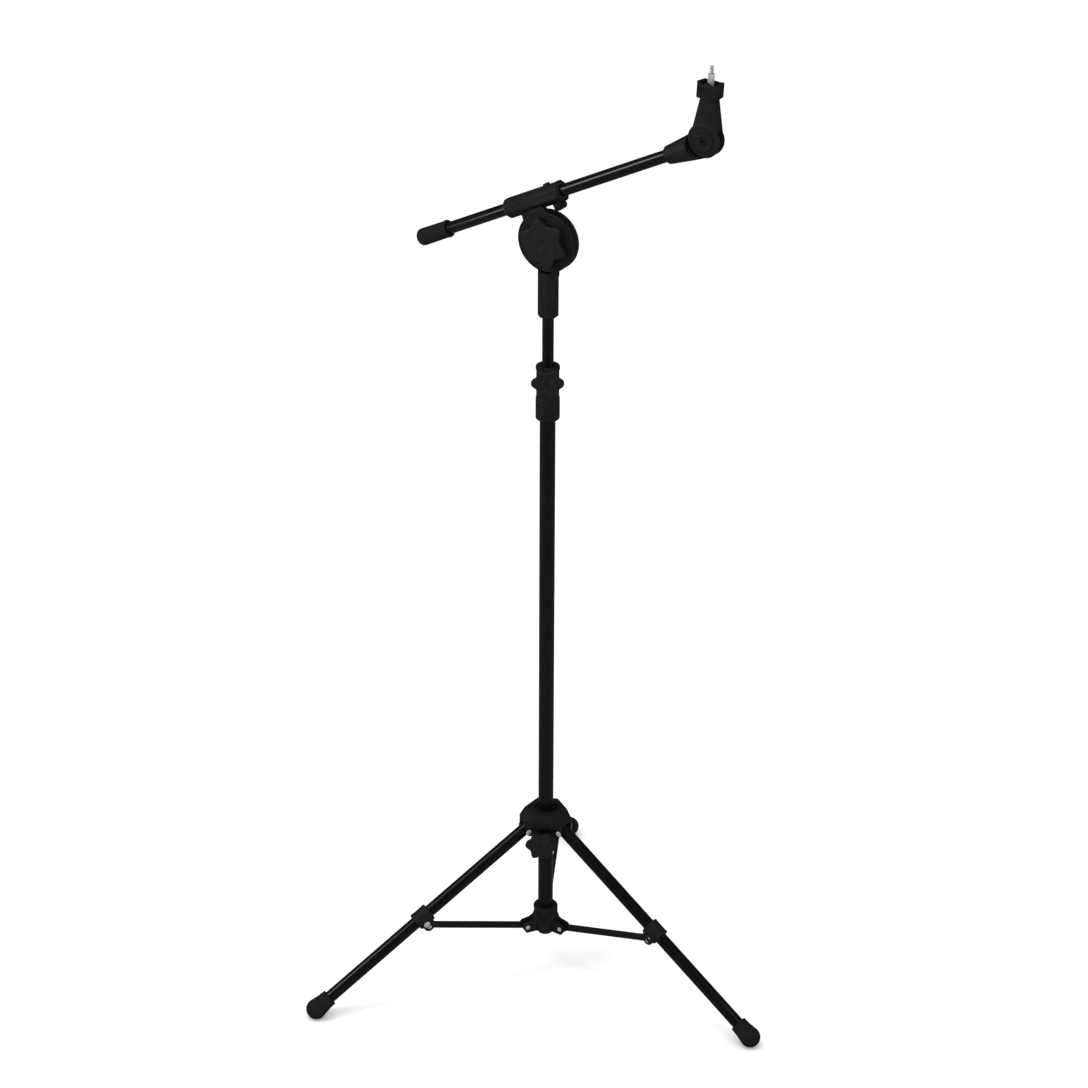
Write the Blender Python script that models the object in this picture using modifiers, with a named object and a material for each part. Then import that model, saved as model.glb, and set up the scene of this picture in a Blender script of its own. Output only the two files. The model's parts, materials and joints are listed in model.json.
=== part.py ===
"""Boom microphone stand on a folding tripod, as separate pieces.

The origin is on the floor in the middle of the stand's outline, +Z is up and +X points along
the boom towards its head. Lengths are in metres and angles in radians.
"""
import math

import bmesh
import bpy
from mathutils import Vector

# Where the mast stands, with the origin in the middle of the whole outline
MAST_X = -0.07421
MAST_Y = -0.01916

# Fits and mesh fineness
GAP = 0.0003
MERGE = 0.00001
SEGMENTS = 18
FINE_SEGMENTS = 36
SMALL_SEGMENTS = 12
OVERLAP = 0.002

# Tubes: outer radius, bore radius and ends
MAST_R = 0.0110
MAST_BORE = 0.0098
MAST_BOTTOM = 0.0570
MAST_TOP = 0.9400
UPPER_R = 0.0080
UPPER_BORE = 0.0070
UPPER_BOTTOM = 0.3750
UPPER_TOP = 1.0950
BOOM_R = 0.0084
BOOM_BORE = 0.0073
LEG_R = 0.0090
LEG_BORE = 0.0078

# Tripod: three legs, each with a strut back to a collar on the mast
LEG_AZIMUTHS = [math.radians(-6 + 120 * index) for index in range(3)]
LEG_DROP = math.radians(34.3)
HUB_PIVOT_R = 0.0330
HUB_PIVOT_Z = 0.2400
LEG_LENGTH = 0.4020
LEG_END = 0.3955
LEG_BACK = -0.0060
CLIP_ALONG = 0.1999
CLIP_DROP = 0.0167
COLLAR_PIVOT_R = 0.0320
COLLAR_PIVOT_Z = 0.0720
STRUT_HALF_HEIGHT = 0.0048
STRUT_THICKNESS = 0.0050
STRUT_SLOT = 0.0064
PIVOT_PIN_R = 0.0025
STRUT_PIN_R = 0.0018
FIXING_PIN_R = 0.0015

# Hub and collar
HUB_LUG_REACH = 0.0366
HUB_LUG_HALF_WIDTH = 0.0135
HUB_LUG_BOTTOM_R = 0.0075
HUB_CHANNEL_HALF_WIDTH = 0.0096
HUB_SKIRT_Z = 0.2475
HUB_EDGE_Z = 0.2585
HUB_TOP = 0.2675
HUB_EDGE_REACH = 0.0376
HUB_EDGE_HALF = 0.0115
HUB_TOP_REACH = 0.0277
HUB_TOP_HALF = 0.0150
HUB_CEILING = 0.2520
HUB_SLEEVE_R = 0.0145
HUB_SLEEVE_BOTTOM = 0.2050
COLLAR_TOP = 0.1010
COLLAR_BOTTOM = 0.0620
COLLAR_EAR_R = 0.0068
COLLAR_EAR_DEPTH = 0.0096
COLLAR_EAR_HALF_WIDTH = 0.0085

# Hand knobs
KNOB_LOBES = 6
KNOB_LOBE_R = 0.0225
KNOB_VALLEY_R = 0.0172
TILT_KNOB_LOBE_R = 0.0356
TILT_KNOB_VALLEY_R = 0.0274
TILT_KNOB_BACK = -0.0105
TILT_KNOB_FACE = -0.0195
KNOB_BACK = 0.0340
KNOB_FACE = 0.0460
KNOB_NECK_START = 0.0255
SCREW_R = 0.0030
HUB_KNOB_AZIMUTH = math.radians(-70)
HUB_KNOB_Z = 0.2265
CLUTCH_KNOB_AZIMUTH = math.radians(-60.5)
CLUTCH_KNOB_Z = 0.9620

# Clutch on the mast's top end
CLUTCH_R = 0.0168
CLUTCH_TOP = 0.9720
CLUTCH_BOTTOM = 0.8930

# Tilt joint, boom and head
DISC_Z = 1.1537
DISC_R = 0.0430
DISC_FACE = 0.0090
DISC_INNER = 0.0008
SOCKET_AF = 0.0270
SOCKET_BOTTOM = 1.0450
SOCKET_TOP = 1.1140
SOCKET_CLEARANCE_R = 0.0436
BOOM_TILT = math.radians(26.4)
BOOM_OFFSET = 0.0580
CLAMP_BACK = -0.0385
CLAMP_FRONT = 0.0525
CLAMP_R = 0.0142
CLAMP_BORE = 0.0112
TILT_BOLT_R = 0.0040
CAP_END = -0.1970
CAP_LENGTH = 0.0515
CAP_R = 0.0121
ELBOW_ALONG = 0.2910
ELBOW_RISE = 0.0040
ELBOW_MOUTH = 0.2285
ELBOW_CONE_R = 0.0172
ELBOW_CHEEK_R = 0.0235
ELBOW_TONGUE_R = 0.0160
ELBOW_TONGUE_HALF = 0.0060
ELBOW_CHEEK_FACE = 0.0095
ELBOW_CLEARANCE_R = 0.0242
ELBOW_BOLT_R = 0.0030
ARM_ANGLE = math.radians(87.3)
ARM_SHIFT = 0.0010
ARM_TOP = 0.0608
CUP_BOTTOM = 0.0568
CUP_FLOOR = 0.0723
CUP_RIM = 0.0768
CUP_WIDTH = 0.0295
CUP_DEPTH = 0.0220
STUD_R = 0.0025
STUD_TOP = 0.0998
STUD_NUT_TOP = 0.0888

# Directions for turned pieces: the local +Z axis goes along +X or +Y of the parent frame
ALONG_X = (0, math.pi / 2, 0)
ALONG_Y = (-math.pi / 2, 0, 0)
UPRIGHT_PLATE = (math.pi / 2, 0, 0)
ORIGIN = (0, 0, 0)

# Finishes: colour, roughness, metallic
GLOSS_PAINT = ((0.012, 0.012, 0.014), 0.28, 0.0)
SATIN_PAINT = ((0.014, 0.015, 0.016), 0.42, 0.0)
MATTE_PLASTIC = ((0.017, 0.016, 0.018), 0.55, 0.0)
KNOB_PLASTIC = ((0.019, 0.019, 0.021), 0.62, 0.0)
LINER_PLASTIC = ((0.030, 0.030, 0.032), 0.50, 0.0)
RUBBER = ((0.012, 0.012, 0.012), 0.80, 0.0)
BRIGHT_STEEL = ((0.62, 0.62, 0.63), 0.25, 1.0)

PARTS = bpy.data.collections.new("boom_microphone_stand")
CUTTERS = bpy.data.collections.new("cutters")


def clear_scene():
    """Remove whatever the scene holds and link the two collections."""
    for old in list(bpy.data.objects):
        bpy.data.objects.remove(old)
    bpy.context.scene.collection.children.link(PARTS)
    bpy.context.scene.collection.children.link(CUTTERS)


# Building blocks

def add_object(name, data, frame=None, location=ORIGIN, rotation=ORIGIN):
    """Link a new object under a frame."""
    obj = bpy.data.objects.new(name, data)
    obj.parent = frame
    obj.location = location
    obj.rotation_euler = rotation
    PARTS.objects.link(obj)
    return obj


def add_frame(name, location, rotation):
    """Add an empty that carries the pieces turning or sliding with it."""
    return add_object(name, None, None, location, rotation)


def turned(name, profile, frame=None, location=ORIGIN, rotation=ORIGIN, segments=SEGMENTS):
    """Turn a (radius, height) profile, listed down its outer side, about the local Z axis."""
    edges = [(index, index + 1) for index in range(len(profile) - 1)]
    if profile[0][0] > 0:
        edges.append((len(profile) - 1, 0))
    mesh = bpy.data.meshes.new(name)
    mesh.from_pydata([(radius, 0, height) for radius, height in profile], edges, [])
    obj = add_object(name, mesh, frame, location, rotation)
    screw = obj.modifiers.new("turn", "SCREW")
    screw.steps = segments
    screw.render_steps = segments
    screw.use_merge_vertices = True
    screw.merge_threshold = MERGE
    screw.use_smooth_shade = True
    return obj


def tube(name, outer, bore, low, high, frame=None, location=ORIGIN, rotation=ORIGIN):
    """Turn a tube that is open at both ends."""
    profile = [(bore, high), (outer, high), (outer, low), (bore, low)]
    return turned(name, profile, frame, location, rotation)


def rod(name, radius, low, high, frame=None, location=ORIGIN, rotation=ORIGIN,
        segments=SEGMENTS):
    """Turn a solid rod."""
    profile = [(0, high), (radius, high), (radius, low), (0, low)]
    return turned(name, profile, frame, location, rotation, segments)


def rivet(name, shank, half_length, head, frame, location):
    """Turn a pin along the frame's Y axis with a domed head beyond each end."""
    crown = half_length + 0.45 * head
    rim = half_length + 0.2 * head
    profile = [(0, crown), (0.6 * head, crown), (head, rim), (head, half_length),
               (shank, half_length), (shank, -half_length), (head, -half_length),
               (head, -rim), (0.6 * head, -crown), (0, -crown)]
    return turned(name, profile, frame, location, ALONG_Y, SMALL_SEGMENTS)


def arc(centre, radius, start, end, steps):
    """List points round a circle from one angle to another."""
    angles = [start + (end - start) * step / steps for step in range(steps + 1)]
    return [(centre[0] + radius * math.cos(angle), centre[1] + radius * math.sin(angle))
            for angle in angles]


def circle(centre, radius, steps):
    """List points all the way round a circle."""
    return arc(centre, radius, 0, 2 * math.pi, steps)[:-1]


def weld(mesh):
    """Merge a mesh's doubled points and turn its faces outwards."""
    shape = bmesh.new()
    shape.from_mesh(mesh)
    bmesh.ops.remove_doubles(shape, verts=shape.verts, dist=MERGE)
    bmesh.ops.recalc_face_normals(shape, faces=shape.faces)
    shape.to_mesh(mesh)
    shape.free()


def plate(name, loops, thickness, frame=None, location=ORIGIN, rotation=ORIGIN):
    """Extrude flat loops in the local XY plane, centred; loops after the first are holes."""
    outline = bpy.data.curves.new(name, "CURVE")
    outline.dimensions = "2D"
    outline.fill_mode = "BOTH"
    outline.extrude = thickness / 2
    for loop in loops:
        spline = outline.splines.new("POLY")
        spline.points.add(len(loop) - 1)
        spline.use_cyclic_u = True
        for point, (x, y) in zip(spline.points, loop):
            point.co = (x, y, 0, 1)
    guide = add_object(name + "_outline", outline)
    evaluated = guide.evaluated_get(bpy.context.evaluated_depsgraph_get())
    mesh = bpy.data.meshes.new_from_object(evaluated)
    bpy.data.objects.remove(guide)
    weld(mesh)
    return add_object(name, mesh, frame, location, rotation)


def block(name, low, high, frame=None, location=ORIGIN, rotation=ORIGIN, top_scale=(1, 1)):
    """Make a box between two corners, its +Z end scaled about the box's middle."""
    size = Vector(high) - Vector(low)
    middle = (Vector(high) + Vector(low)) / 2
    shape = bmesh.new()
    bmesh.ops.create_cube(shape, size=1)
    for vertex in shape.verts:
        scale_x, scale_y = top_scale if vertex.co.z > 0 else (1, 1)
        vertex.co.x = middle.x + vertex.co.x * size.x * scale_x
        vertex.co.y = middle.y + vertex.co.y * size.y * scale_y
        vertex.co.z = middle.z + vertex.co.z * size.z
    mesh = bpy.data.meshes.new(name)
    shape.to_mesh(mesh)
    shape.free()
    return add_object(name, mesh, frame, location, rotation)


def prism(name, sides, across_flats, low, high, frame=None, location=ORIGIN, rotation=ORIGIN):
    """Make a regular prism about the local Z axis, with flats facing the X axis."""
    shape = bmesh.new()
    corner = across_flats / 2 / math.cos(math.pi / sides)
    bmesh.ops.create_cone(shape, cap_ends=True, segments=sides, radius1=corner,
                          radius2=corner, depth=high - low)
    for vertex in shape.verts:
        angle = math.atan2(vertex.co.y, vertex.co.x) + math.pi / sides
        vertex.co.x = corner * math.cos(angle)
        vertex.co.y = corner * math.sin(angle)
        vertex.co.z += (high + low) / 2
    mesh = bpy.data.meshes.new(name)
    shape.to_mesh(mesh)
    shape.free()
    return add_object(name, mesh, frame, location, rotation)


def soften(obj, width):
    """Chamfer an object's sharp edges."""
    bevel = obj.modifiers.new("soften", "BEVEL")
    bevel.width = width
    bevel.segments = 1
    bevel.limit_method = "ANGLE"
    bevel.angle_limit = math.radians(40)


def combine(target, tool, operation):
    """Join a tool to a target or cut it away, and hide the tool."""
    boolean = target.modifiers.new(tool.name, "BOOLEAN")
    boolean.operation = operation
    boolean.object = tool
    tool.hide_render = True
    tool.display_type = "WIRE"
    if tool.name in PARTS.objects:
        PARTS.objects.unlink(tool)
        CUTTERS.objects.link(tool)


def join(target, *tools):
    """Join tools to a target."""
    for tool in tools:
        combine(target, tool, "UNION")


def cut(target, *tools):
    """Cut tools out of a target."""
    for tool in tools:
        combine(target, tool, "DIFFERENCE")


def finish(obj, look):
    """Give an object its own material."""
    colour, roughness, metallic = look
    material = bpy.data.materials.new(obj.name + "_finish")
    material.use_nodes = True
    shader = material.node_tree.nodes["Principled BSDF"]
    shader.inputs["Base Color"].default_value = (*colour, 1)
    shader.inputs["Roughness"].default_value = roughness
    shader.inputs["Metallic"].default_value = metallic
    obj.data.materials.clear()
    obj.data.materials.append(material)
    return obj


# Mast and height adjustment

def build_mast():
    """Mast tube and the plug in its lower end."""
    finish(tube("mast_tube", MAST_R, MAST_BORE, MAST_BOTTOM, MAST_TOP), GLOSS_PAINT)
    flange_top = MAST_BOTTOM - GAP
    flange_bottom = flange_top - 0.0030
    stem_r = MAST_BORE - GAP
    stem_top = MAST_BOTTOM + 0.0120
    profile = [(0, stem_top), (stem_r, stem_top), (stem_r, flange_top), (MAST_R, flange_top),
               (MAST_R, flange_bottom), (0, flange_bottom)]
    finish(turned("mast_end_plug", profile), MATTE_PLASTIC)


def build_upper_tube():
    """Sliding upper tube and the glide in its lower end."""
    finish(tube("upper_tube", UPPER_R, UPPER_BORE, UPPER_BOTTOM, UPPER_TOP), GLOSS_PAINT)
    flange_top = UPPER_BOTTOM - GAP
    flange_bottom = flange_top - 0.0060
    flange_r = MAST_BORE - GAP
    stem_r = UPPER_BORE - GAP
    stem_top = UPPER_BOTTOM + 0.0150
    profile = [(0, stem_top), (stem_r, stem_top), (stem_r, flange_top), (flange_r, flange_top),
               (flange_r, flange_bottom), (0, flange_bottom)]
    finish(turned("upper_tube_glide", profile), LINER_PLASTIC)


def build_clutch():
    """Clutch body on the mast's end, and the bush that guides the upper tube."""
    seat = MAST_TOP + GAP
    bush_bore = 0.0100
    lip = CLUTCH_TOP - 0.0040
    mouth = UPPER_R + 0.0005
    waist = CLUTCH_R - 0.0008
    profile = [(mouth, CLUTCH_TOP), (CLUTCH_R - 0.0010, CLUTCH_TOP),
               (CLUTCH_R, CLUTCH_TOP - 0.0012), (CLUTCH_R, CLUTCH_TOP - 0.0050),
               (waist, CLUTCH_TOP - 0.0070), (waist, CLUTCH_BOTTOM + 0.0320),
               (CLUTCH_R, CLUTCH_BOTTOM + 0.0310), (CLUTCH_R, CLUTCH_BOTTOM + 0.0025),
               (CLUTCH_R - 0.0015, CLUTCH_BOTTOM), (MAST_R + GAP, CLUTCH_BOTTOM),
               (MAST_R + GAP, seat), (bush_bore, seat), (bush_bore, lip), (mouth, lip)]
    body = turned("clutch_body", profile)
    direction = add_frame("clutch_knob_frame", (0, 0, CLUTCH_KNOB_Z),
                          (0, 0, CLUTCH_KNOB_AZIMUTH))
    join(body, rod("clutch_boss", 0.0085, 0.0130, KNOB_NECK_START - 0.0005, direction,
                   ORIGIN, ALONG_X))
    cut(body, rod("clutch_screw_hole", SCREW_R + GAP, 0.0085, KNOB_NECK_START + OVERLAP,
                  direction, ORIGIN, ALONG_X, SMALL_SEGMENTS))
    finish(body, MATTE_PLASTIC)
    bush = tube("clutch_bush", bush_bore - GAP, UPPER_R + GAP, seat + GAP, lip - GAP)
    finish(bush, LINER_PLASTIC)
    build_hand_knob("clutch", direction, bush_bore)


def star(lobe_r, valley_r, phase):
    """List points round a wavy six-lobed knob outline."""
    mean = (lobe_r + valley_r) / 2
    wave = (lobe_r - valley_r) / 2
    steps = 6 * KNOB_LOBES
    points = []
    for step in range(steps):
        angle = 2 * math.pi * step / steps
        radius = mean + wave * math.cos(KNOB_LOBES * (angle - phase))
        points.append((radius * math.cos(angle), radius * math.sin(angle)))
    return points


def build_hand_knob(owner, frame, tip):
    """Lobed hand knob and its screw, along the frame's X axis."""
    middle = (KNOB_BACK + KNOB_FACE) / 2
    knob = plate(owner + "_knob", [star(KNOB_LOBE_R, KNOB_VALLEY_R, 0)],
                 KNOB_FACE - KNOB_BACK, frame, (middle, 0, 0), (math.pi / 2, 0, math.pi / 2))
    soften(knob, 0.0015)
    neck = [(0, KNOB_BACK + OVERLAP), (0.0110, KNOB_BACK + OVERLAP), (0.0110, KNOB_BACK),
            (0.0085, KNOB_NECK_START), (0, KNOB_NECK_START)]
    join(knob, turned(owner + "_knob_neck", neck, frame, ORIGIN, ALONG_X))
    screw_end = KNOB_BACK + 0.0060
    cut(knob, rod(owner + "_knob_hole", SCREW_R + GAP, KNOB_NECK_START - OVERLAP,
                  screw_end + GAP, frame, ORIGIN, ALONG_X, SMALL_SEGMENTS))
    finish(knob, KNOB_PLASTIC)
    screw = rod(owner + "_screw", SCREW_R, tip, screw_end, frame, ORIGIN, ALONG_X,
                SMALL_SEGMENTS)
    finish(screw, BRIGHT_STEEL)


# Tripod

def hub_outline(reach, half):
    """List the hub's plan: a triangle whose blunt corners stand over the legs."""
    points = []
    for azimuth in LEG_AZIMUTHS:
        cosine = math.cos(azimuth)
        sine = math.sin(azimuth)
        for y in (-half, half):
            points.append((reach * cosine - y * sine, reach * sine + y * cosine))
    return points


def hub_shell():
    """Loft the hub's canopy from its skirt, over the edge, up to its smaller flat top."""
    levels = ((HUB_SKIRT_Z, HUB_EDGE_REACH - 0.0004, HUB_EDGE_HALF),
              (HUB_EDGE_Z, HUB_EDGE_REACH, HUB_EDGE_HALF),
              (HUB_TOP, HUB_TOP_REACH, HUB_TOP_HALF))
    rings = []
    shape = bmesh.new()
    for height, reach, half in levels:
        plan = hub_outline(reach, half)
        rings.append([shape.verts.new((x, y, height)) for x, y in plan])
    count = len(rings[0])
    for lower, upper in zip(rings, rings[1:]):
        for index in range(count):
            following = (index + 1) % count
            shape.faces.new((lower[index], lower[following], upper[following], upper[index]))
    shape.faces.new(list(reversed(rings[0])))
    shape.faces.new(rings[-1])
    mesh = bpy.data.meshes.new("hub_body")
    shape.to_mesh(mesh)
    shape.free()
    return add_object("hub_body", mesh)


def build_hub():
    """Sliding hub with a lug over each leg, and its clamping knob."""
    hub = hub_shell()
    join(hub, rod("hub_sleeve", HUB_SLEEVE_R, HUB_SLEEVE_BOTTOM, HUB_SKIRT_Z + OVERLAP))
    direction = add_frame("hub_knob_frame", (0, 0, HUB_KNOB_Z), (0, 0, HUB_KNOB_AZIMUTH))
    join(hub, rod("hub_boss", 0.0085, 0.0120, KNOB_NECK_START - 0.0005, direction, ORIGIN,
                  ALONG_X))
    cut(hub, rod("hub_bore", MAST_R + GAP, HUB_SLEEVE_BOTTOM - OVERLAP, HUB_TOP + OVERLAP))
    cut(hub, rod("hub_screw_hole", SCREW_R + GAP, 0.0100, KNOB_NECK_START + OVERLAP,
                 direction, ORIGIN, ALONG_X, SMALL_SEGMENTS))
    for number, azimuth in enumerate(LEG_AZIMUTHS, 1):
        lug = add_frame(f"hub_lug_frame_{number}", ORIGIN, (0, 0, azimuth))
        side = arc((HUB_LUG_REACH - HUB_LUG_BOTTOM_R, HUB_PIVOT_Z), HUB_LUG_BOTTOM_R,
                   -math.pi / 2, 0, 4)
        side += [(HUB_LUG_REACH, HUB_SKIRT_Z + OVERLAP), (0.0130, HUB_SKIRT_Z + OVERLAP),
                 (0.0130, HUB_PIVOT_Z - HUB_LUG_BOTTOM_R)]
        join(hub, plate(f"hub_lug_{number}", [side], 2 * HUB_LUG_HALF_WIDTH, lug, ORIGIN,
                        UPRIGHT_PLATE))
        half = HUB_CHANNEL_HALF_WIDTH
        cut(hub, block(f"hub_channel_{number}", (0.0200, -half, 0.2000),
                       (0.0600, half, HUB_CEILING), lug))
        pivot = (HUB_PIVOT_R, 0, HUB_PIVOT_Z)
        reach = HUB_LUG_HALF_WIDTH + OVERLAP
        cut(hub, rod(f"hub_pin_hole_{number}", PIVOT_PIN_R + GAP, -reach, reach, lug, pivot,
                     ALONG_Y, SMALL_SEGMENTS))
        pin = rivet(f"leg_pivot_pin_{number}", PIVOT_PIN_R, HUB_LUG_HALF_WIDTH + GAP, 0.0044,
                    lug, pivot)
        finish(pin, BRIGHT_STEEL)
    finish(hub, MATTE_PLASTIC)
    build_hand_knob("hub", direction, MAST_R + GAP)


def build_collar():
    """Collar fixed near the mast's foot, with a fork for each strut."""
    bore = MAST_R + GAP
    profile = [(bore, COLLAR_TOP), (0.0168, COLLAR_TOP), (0.0178, COLLAR_TOP - 0.0015),
               (0.0173, COLLAR_TOP - 0.0130), (0.0205, COLLAR_BOTTOM + 0.0180),
               (0.0205, COLLAR_BOTTOM + 0.0040), (0.0185, COLLAR_BOTTOM),
               (bore, COLLAR_BOTTOM)]
    collar = turned("strut_collar", profile)
    for number, azimuth in enumerate(LEG_AZIMUTHS, 1):
        fork = add_frame(f"collar_frame_{number}", ORIGIN, (0, 0, azimuth))
        pivot = (COLLAR_PIVOT_R, COLLAR_PIVOT_Z)
        root = 0.0150
        ear_low = COLLAR_PIVOT_Z - COLLAR_EAR_DEPTH
        ear = arc(pivot, COLLAR_EAR_R, -math.pi / 6, math.pi / 2, 5)
        ear += [(root, COLLAR_PIVOT_Z + 0.0120), (root, ear_low),
                (COLLAR_PIVOT_R + 0.0020, ear_low)]
        lug = plate(f"collar_lug_{number}", [ear], 2 * COLLAR_EAR_HALF_WIDTH, fork, ORIGIN,
                    UPRIGHT_PLATE)
        join(collar, lug)
        half = STRUT_SLOT / 2
        cut(collar, block(f"collar_slot_{number}", (0.0190, -half, COLLAR_BOTTOM - OVERLAP),
                          (0.0450, half, COLLAR_PIVOT_Z + 0.0200), fork))
        reach = COLLAR_EAR_HALF_WIDTH + OVERLAP
        cut(collar, rod(f"collar_pin_hole_{number}", STRUT_PIN_R + GAP, -reach, reach, fork,
                        (COLLAR_PIVOT_R, 0, COLLAR_PIVOT_Z), ALONG_Y, SMALL_SEGMENTS))
        build_collar_rivets(number, fork)
    finish(collar, MATTE_PLASTIC)


def build_collar_rivets(number, fork):
    """Two short rivets, one in each ear of a fork, that end flush with the fork's slot."""
    inner = STRUT_SLOT / 2 + GAP
    seat = COLLAR_EAR_HALF_WIDTH + GAP
    crown = seat + 0.0015
    head = 0.0034
    for label, side in (("a", 1), ("b", -1)):
        profile = [(0, crown), (0.6 * head, crown), (head, seat + 0.0007), (head, seat),
                   (STRUT_PIN_R, seat), (STRUT_PIN_R, inner), (0, inner)]
        turn = (-side * math.pi / 2, 0, 0)
        stub = turned(f"collar_rivet_{number}{label}", profile, fork,
                      (COLLAR_PIVOT_R, 0, COLLAR_PIVOT_Z), turn, SMALL_SEGMENTS)
        finish(stub, BRIGHT_STEEL)


def strut_geometry():
    """Return the outer pivot's radius and height, and the strut's length and rise."""
    radius = (HUB_PIVOT_R + CLIP_ALONG * math.cos(LEG_DROP)
              - CLIP_DROP * math.sin(LEG_DROP))
    height = (HUB_PIVOT_Z - CLIP_ALONG * math.sin(LEG_DROP)
              - CLIP_DROP * math.cos(LEG_DROP))
    run = radius - COLLAR_PIVOT_R
    climb = height - COLLAR_PIVOT_Z
    return radius, height, math.hypot(run, climb), math.atan2(climb, run)


def build_leg(number, azimuth):
    """One leg: tube, top plug, foot, strut clip and strut, with their rivets."""
    cosine = math.cos(azimuth)
    sine = math.sin(azimuth)
    frame = add_frame(f"leg_frame_{number}",
                      (HUB_PIVOT_R * cosine, HUB_PIVOT_R * sine, HUB_PIVOT_Z),
                      (0, LEG_DROP, azimuth))
    reach = LEG_R + OVERLAP
    pin_hole = rod(f"leg_pin_hole_{number}", PIVOT_PIN_R + GAP, -reach, reach, frame, ORIGIN,
                   ALONG_Y, SMALL_SEGMENTS)
    fixing = (CLIP_ALONG, 0, -0.0058)
    side = 0.0132
    fixing_hole = rod(f"leg_fixing_hole_{number}", FIXING_PIN_R + GAP, -side - OVERLAP,
                      side + OVERLAP, frame, fixing, ALONG_Y, SMALL_SEGMENTS)
    leg = tube(f"leg_tube_{number}", LEG_R, LEG_BORE, LEG_BACK, LEG_END, frame, ORIGIN,
               ALONG_X)
    cut(leg, pin_hole, fixing_hole)
    finish(leg, GLOSS_PAINT)
    stem = LEG_BORE - GAP
    seat = LEG_BACK - GAP
    plug_profile = [(0, 0.0120), (stem, 0.0120), (stem, seat), (LEG_R, seat),
                    (LEG_R * 0.93, seat - 0.0022), (LEG_R * 0.66, seat - 0.0040),
                    (0, seat - 0.0046)]
    plug = turned(f"leg_top_plug_{number}", plug_profile, frame, ORIGIN, ALONG_X)
    cut(plug, pin_hole)
    finish(plug, MATTE_PLASTIC)
    build_foot(number, frame)
    build_clip(number, frame, fixing, side, fixing_hole)
    build_strut(number, azimuth)


def build_foot(number, frame):
    """Rubber foot: a ball with a flat sole under a sleeve on the tube's end."""
    ball_r = 0.0150
    mouth = LEG_LENGTH - 0.0260
    bore = LEG_R + GAP
    floor = LEG_END + GAP
    ball = arc((0, LEG_LENGTH), ball_r, math.pi / 2, -math.radians(15), 5)
    profile = ball + [(0.0136, LEG_LENGTH - 0.0110), (0.0125, mouth + 0.0010),
                      (0.0118, mouth), (bore, mouth), (bore, floor), (0, floor)]
    profile[0] = (0, LEG_LENGTH + ball_r)
    foot = turned(f"foot_{number}", profile, frame, ORIGIN, ALONG_X)
    run = HUB_PIVOT_R + LEG_LENGTH * math.cos(LEG_DROP)
    azimuth = LEG_AZIMUTHS[number - 1]
    spot = (run * math.cos(azimuth), run * math.sin(azimuth), 0)
    cut(foot, block(f"foot_sole_cut_{number}", (-0.03, -0.03, -0.02), (0.03, 0.03, 0), None,
                    spot))
    finish(foot, RUBBER)


def build_clip(number, frame, fixing, side, fixing_hole):
    """Clip on the leg with ears for the strut, its fixing rivet and the strut's pivot rivet."""
    half = 0.0130
    middle = CLIP_ALONG - 0.0020
    clip = turned(f"leg_clip_{number}",
                  [(0, middle + half), (0.0125, middle + half),
                   (0.0134, middle + half - 0.0010), (0.0134, middle - half + 0.0010),
                   (0.0125, middle - half), (0, middle - half)],
                  frame, ORIGIN, ALONG_X)
    cheek = [(middle - half + 0.0020, -0.0005), (middle - 0.0090, -0.0118),
             (middle + 0.0060, -0.0128), (middle + half - 0.0020, -0.0060),
             (middle + half - 0.0020, -0.0005)]
    join(clip, plate(f"clip_cheek_{number}", [cheek], 2 * side, frame, ORIGIN, UPRIGHT_PLATE))
    pivot = (CLIP_ALONG, -CLIP_DROP)
    ear = arc(pivot, 0.0080, math.radians(-180), 0, 6)
    ear += [(CLIP_ALONG + 0.0080, -0.0080), (CLIP_ALONG - 0.0100, -0.0080)]
    ear_half = 0.0070
    join(clip, plate(f"clip_ear_{number}", [ear], 2 * ear_half, frame, ORIGIN,
                     UPRIGHT_PLATE))
    cut(clip, rod(f"clip_bore_{number}", LEG_R + GAP, middle - half - OVERLAP,
                  middle + half + OVERLAP, frame, ORIGIN, ALONG_X))
    cut(clip, fixing_hole)
    slot = STRUT_SLOT / 2
    cut(clip, block(f"clip_slot_{number}", (CLIP_ALONG - 0.0200, -slot, -0.0300),
                    (CLIP_ALONG + 0.0200, slot, -0.0107), frame))
    spot = (CLIP_ALONG, 0, -CLIP_DROP)
    cut(clip, rod(f"clip_pin_hole_{number}", STRUT_PIN_R + GAP, -ear_half - OVERLAP,
                  ear_half + OVERLAP, frame, spot, ALONG_Y, SMALL_SEGMENTS))
    finish(clip, MATTE_PLASTIC)
    pivot_rivet = rivet(f"strut_rivet_{number}", STRUT_PIN_R, ear_half + GAP, 0.0034, frame,
                        spot)
    finish(pivot_rivet, BRIGHT_STEEL)
    head = 0.0047
    seat = side + GAP
    profile = [(0, seat + 0.0022), (0.55 * head, seat + 0.0020), (head, seat + 0.0008),
               (head, seat), (FIXING_PIN_R, seat), (FIXING_PIN_R, -side + GAP),
               (0, -side + GAP)]
    fixing_rivet = turned(f"clip_rivet_{number}", profile, frame, fixing, ALONG_Y,
                          SMALL_SEGMENTS)
    finish(fixing_rivet, BRIGHT_STEEL)


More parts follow.
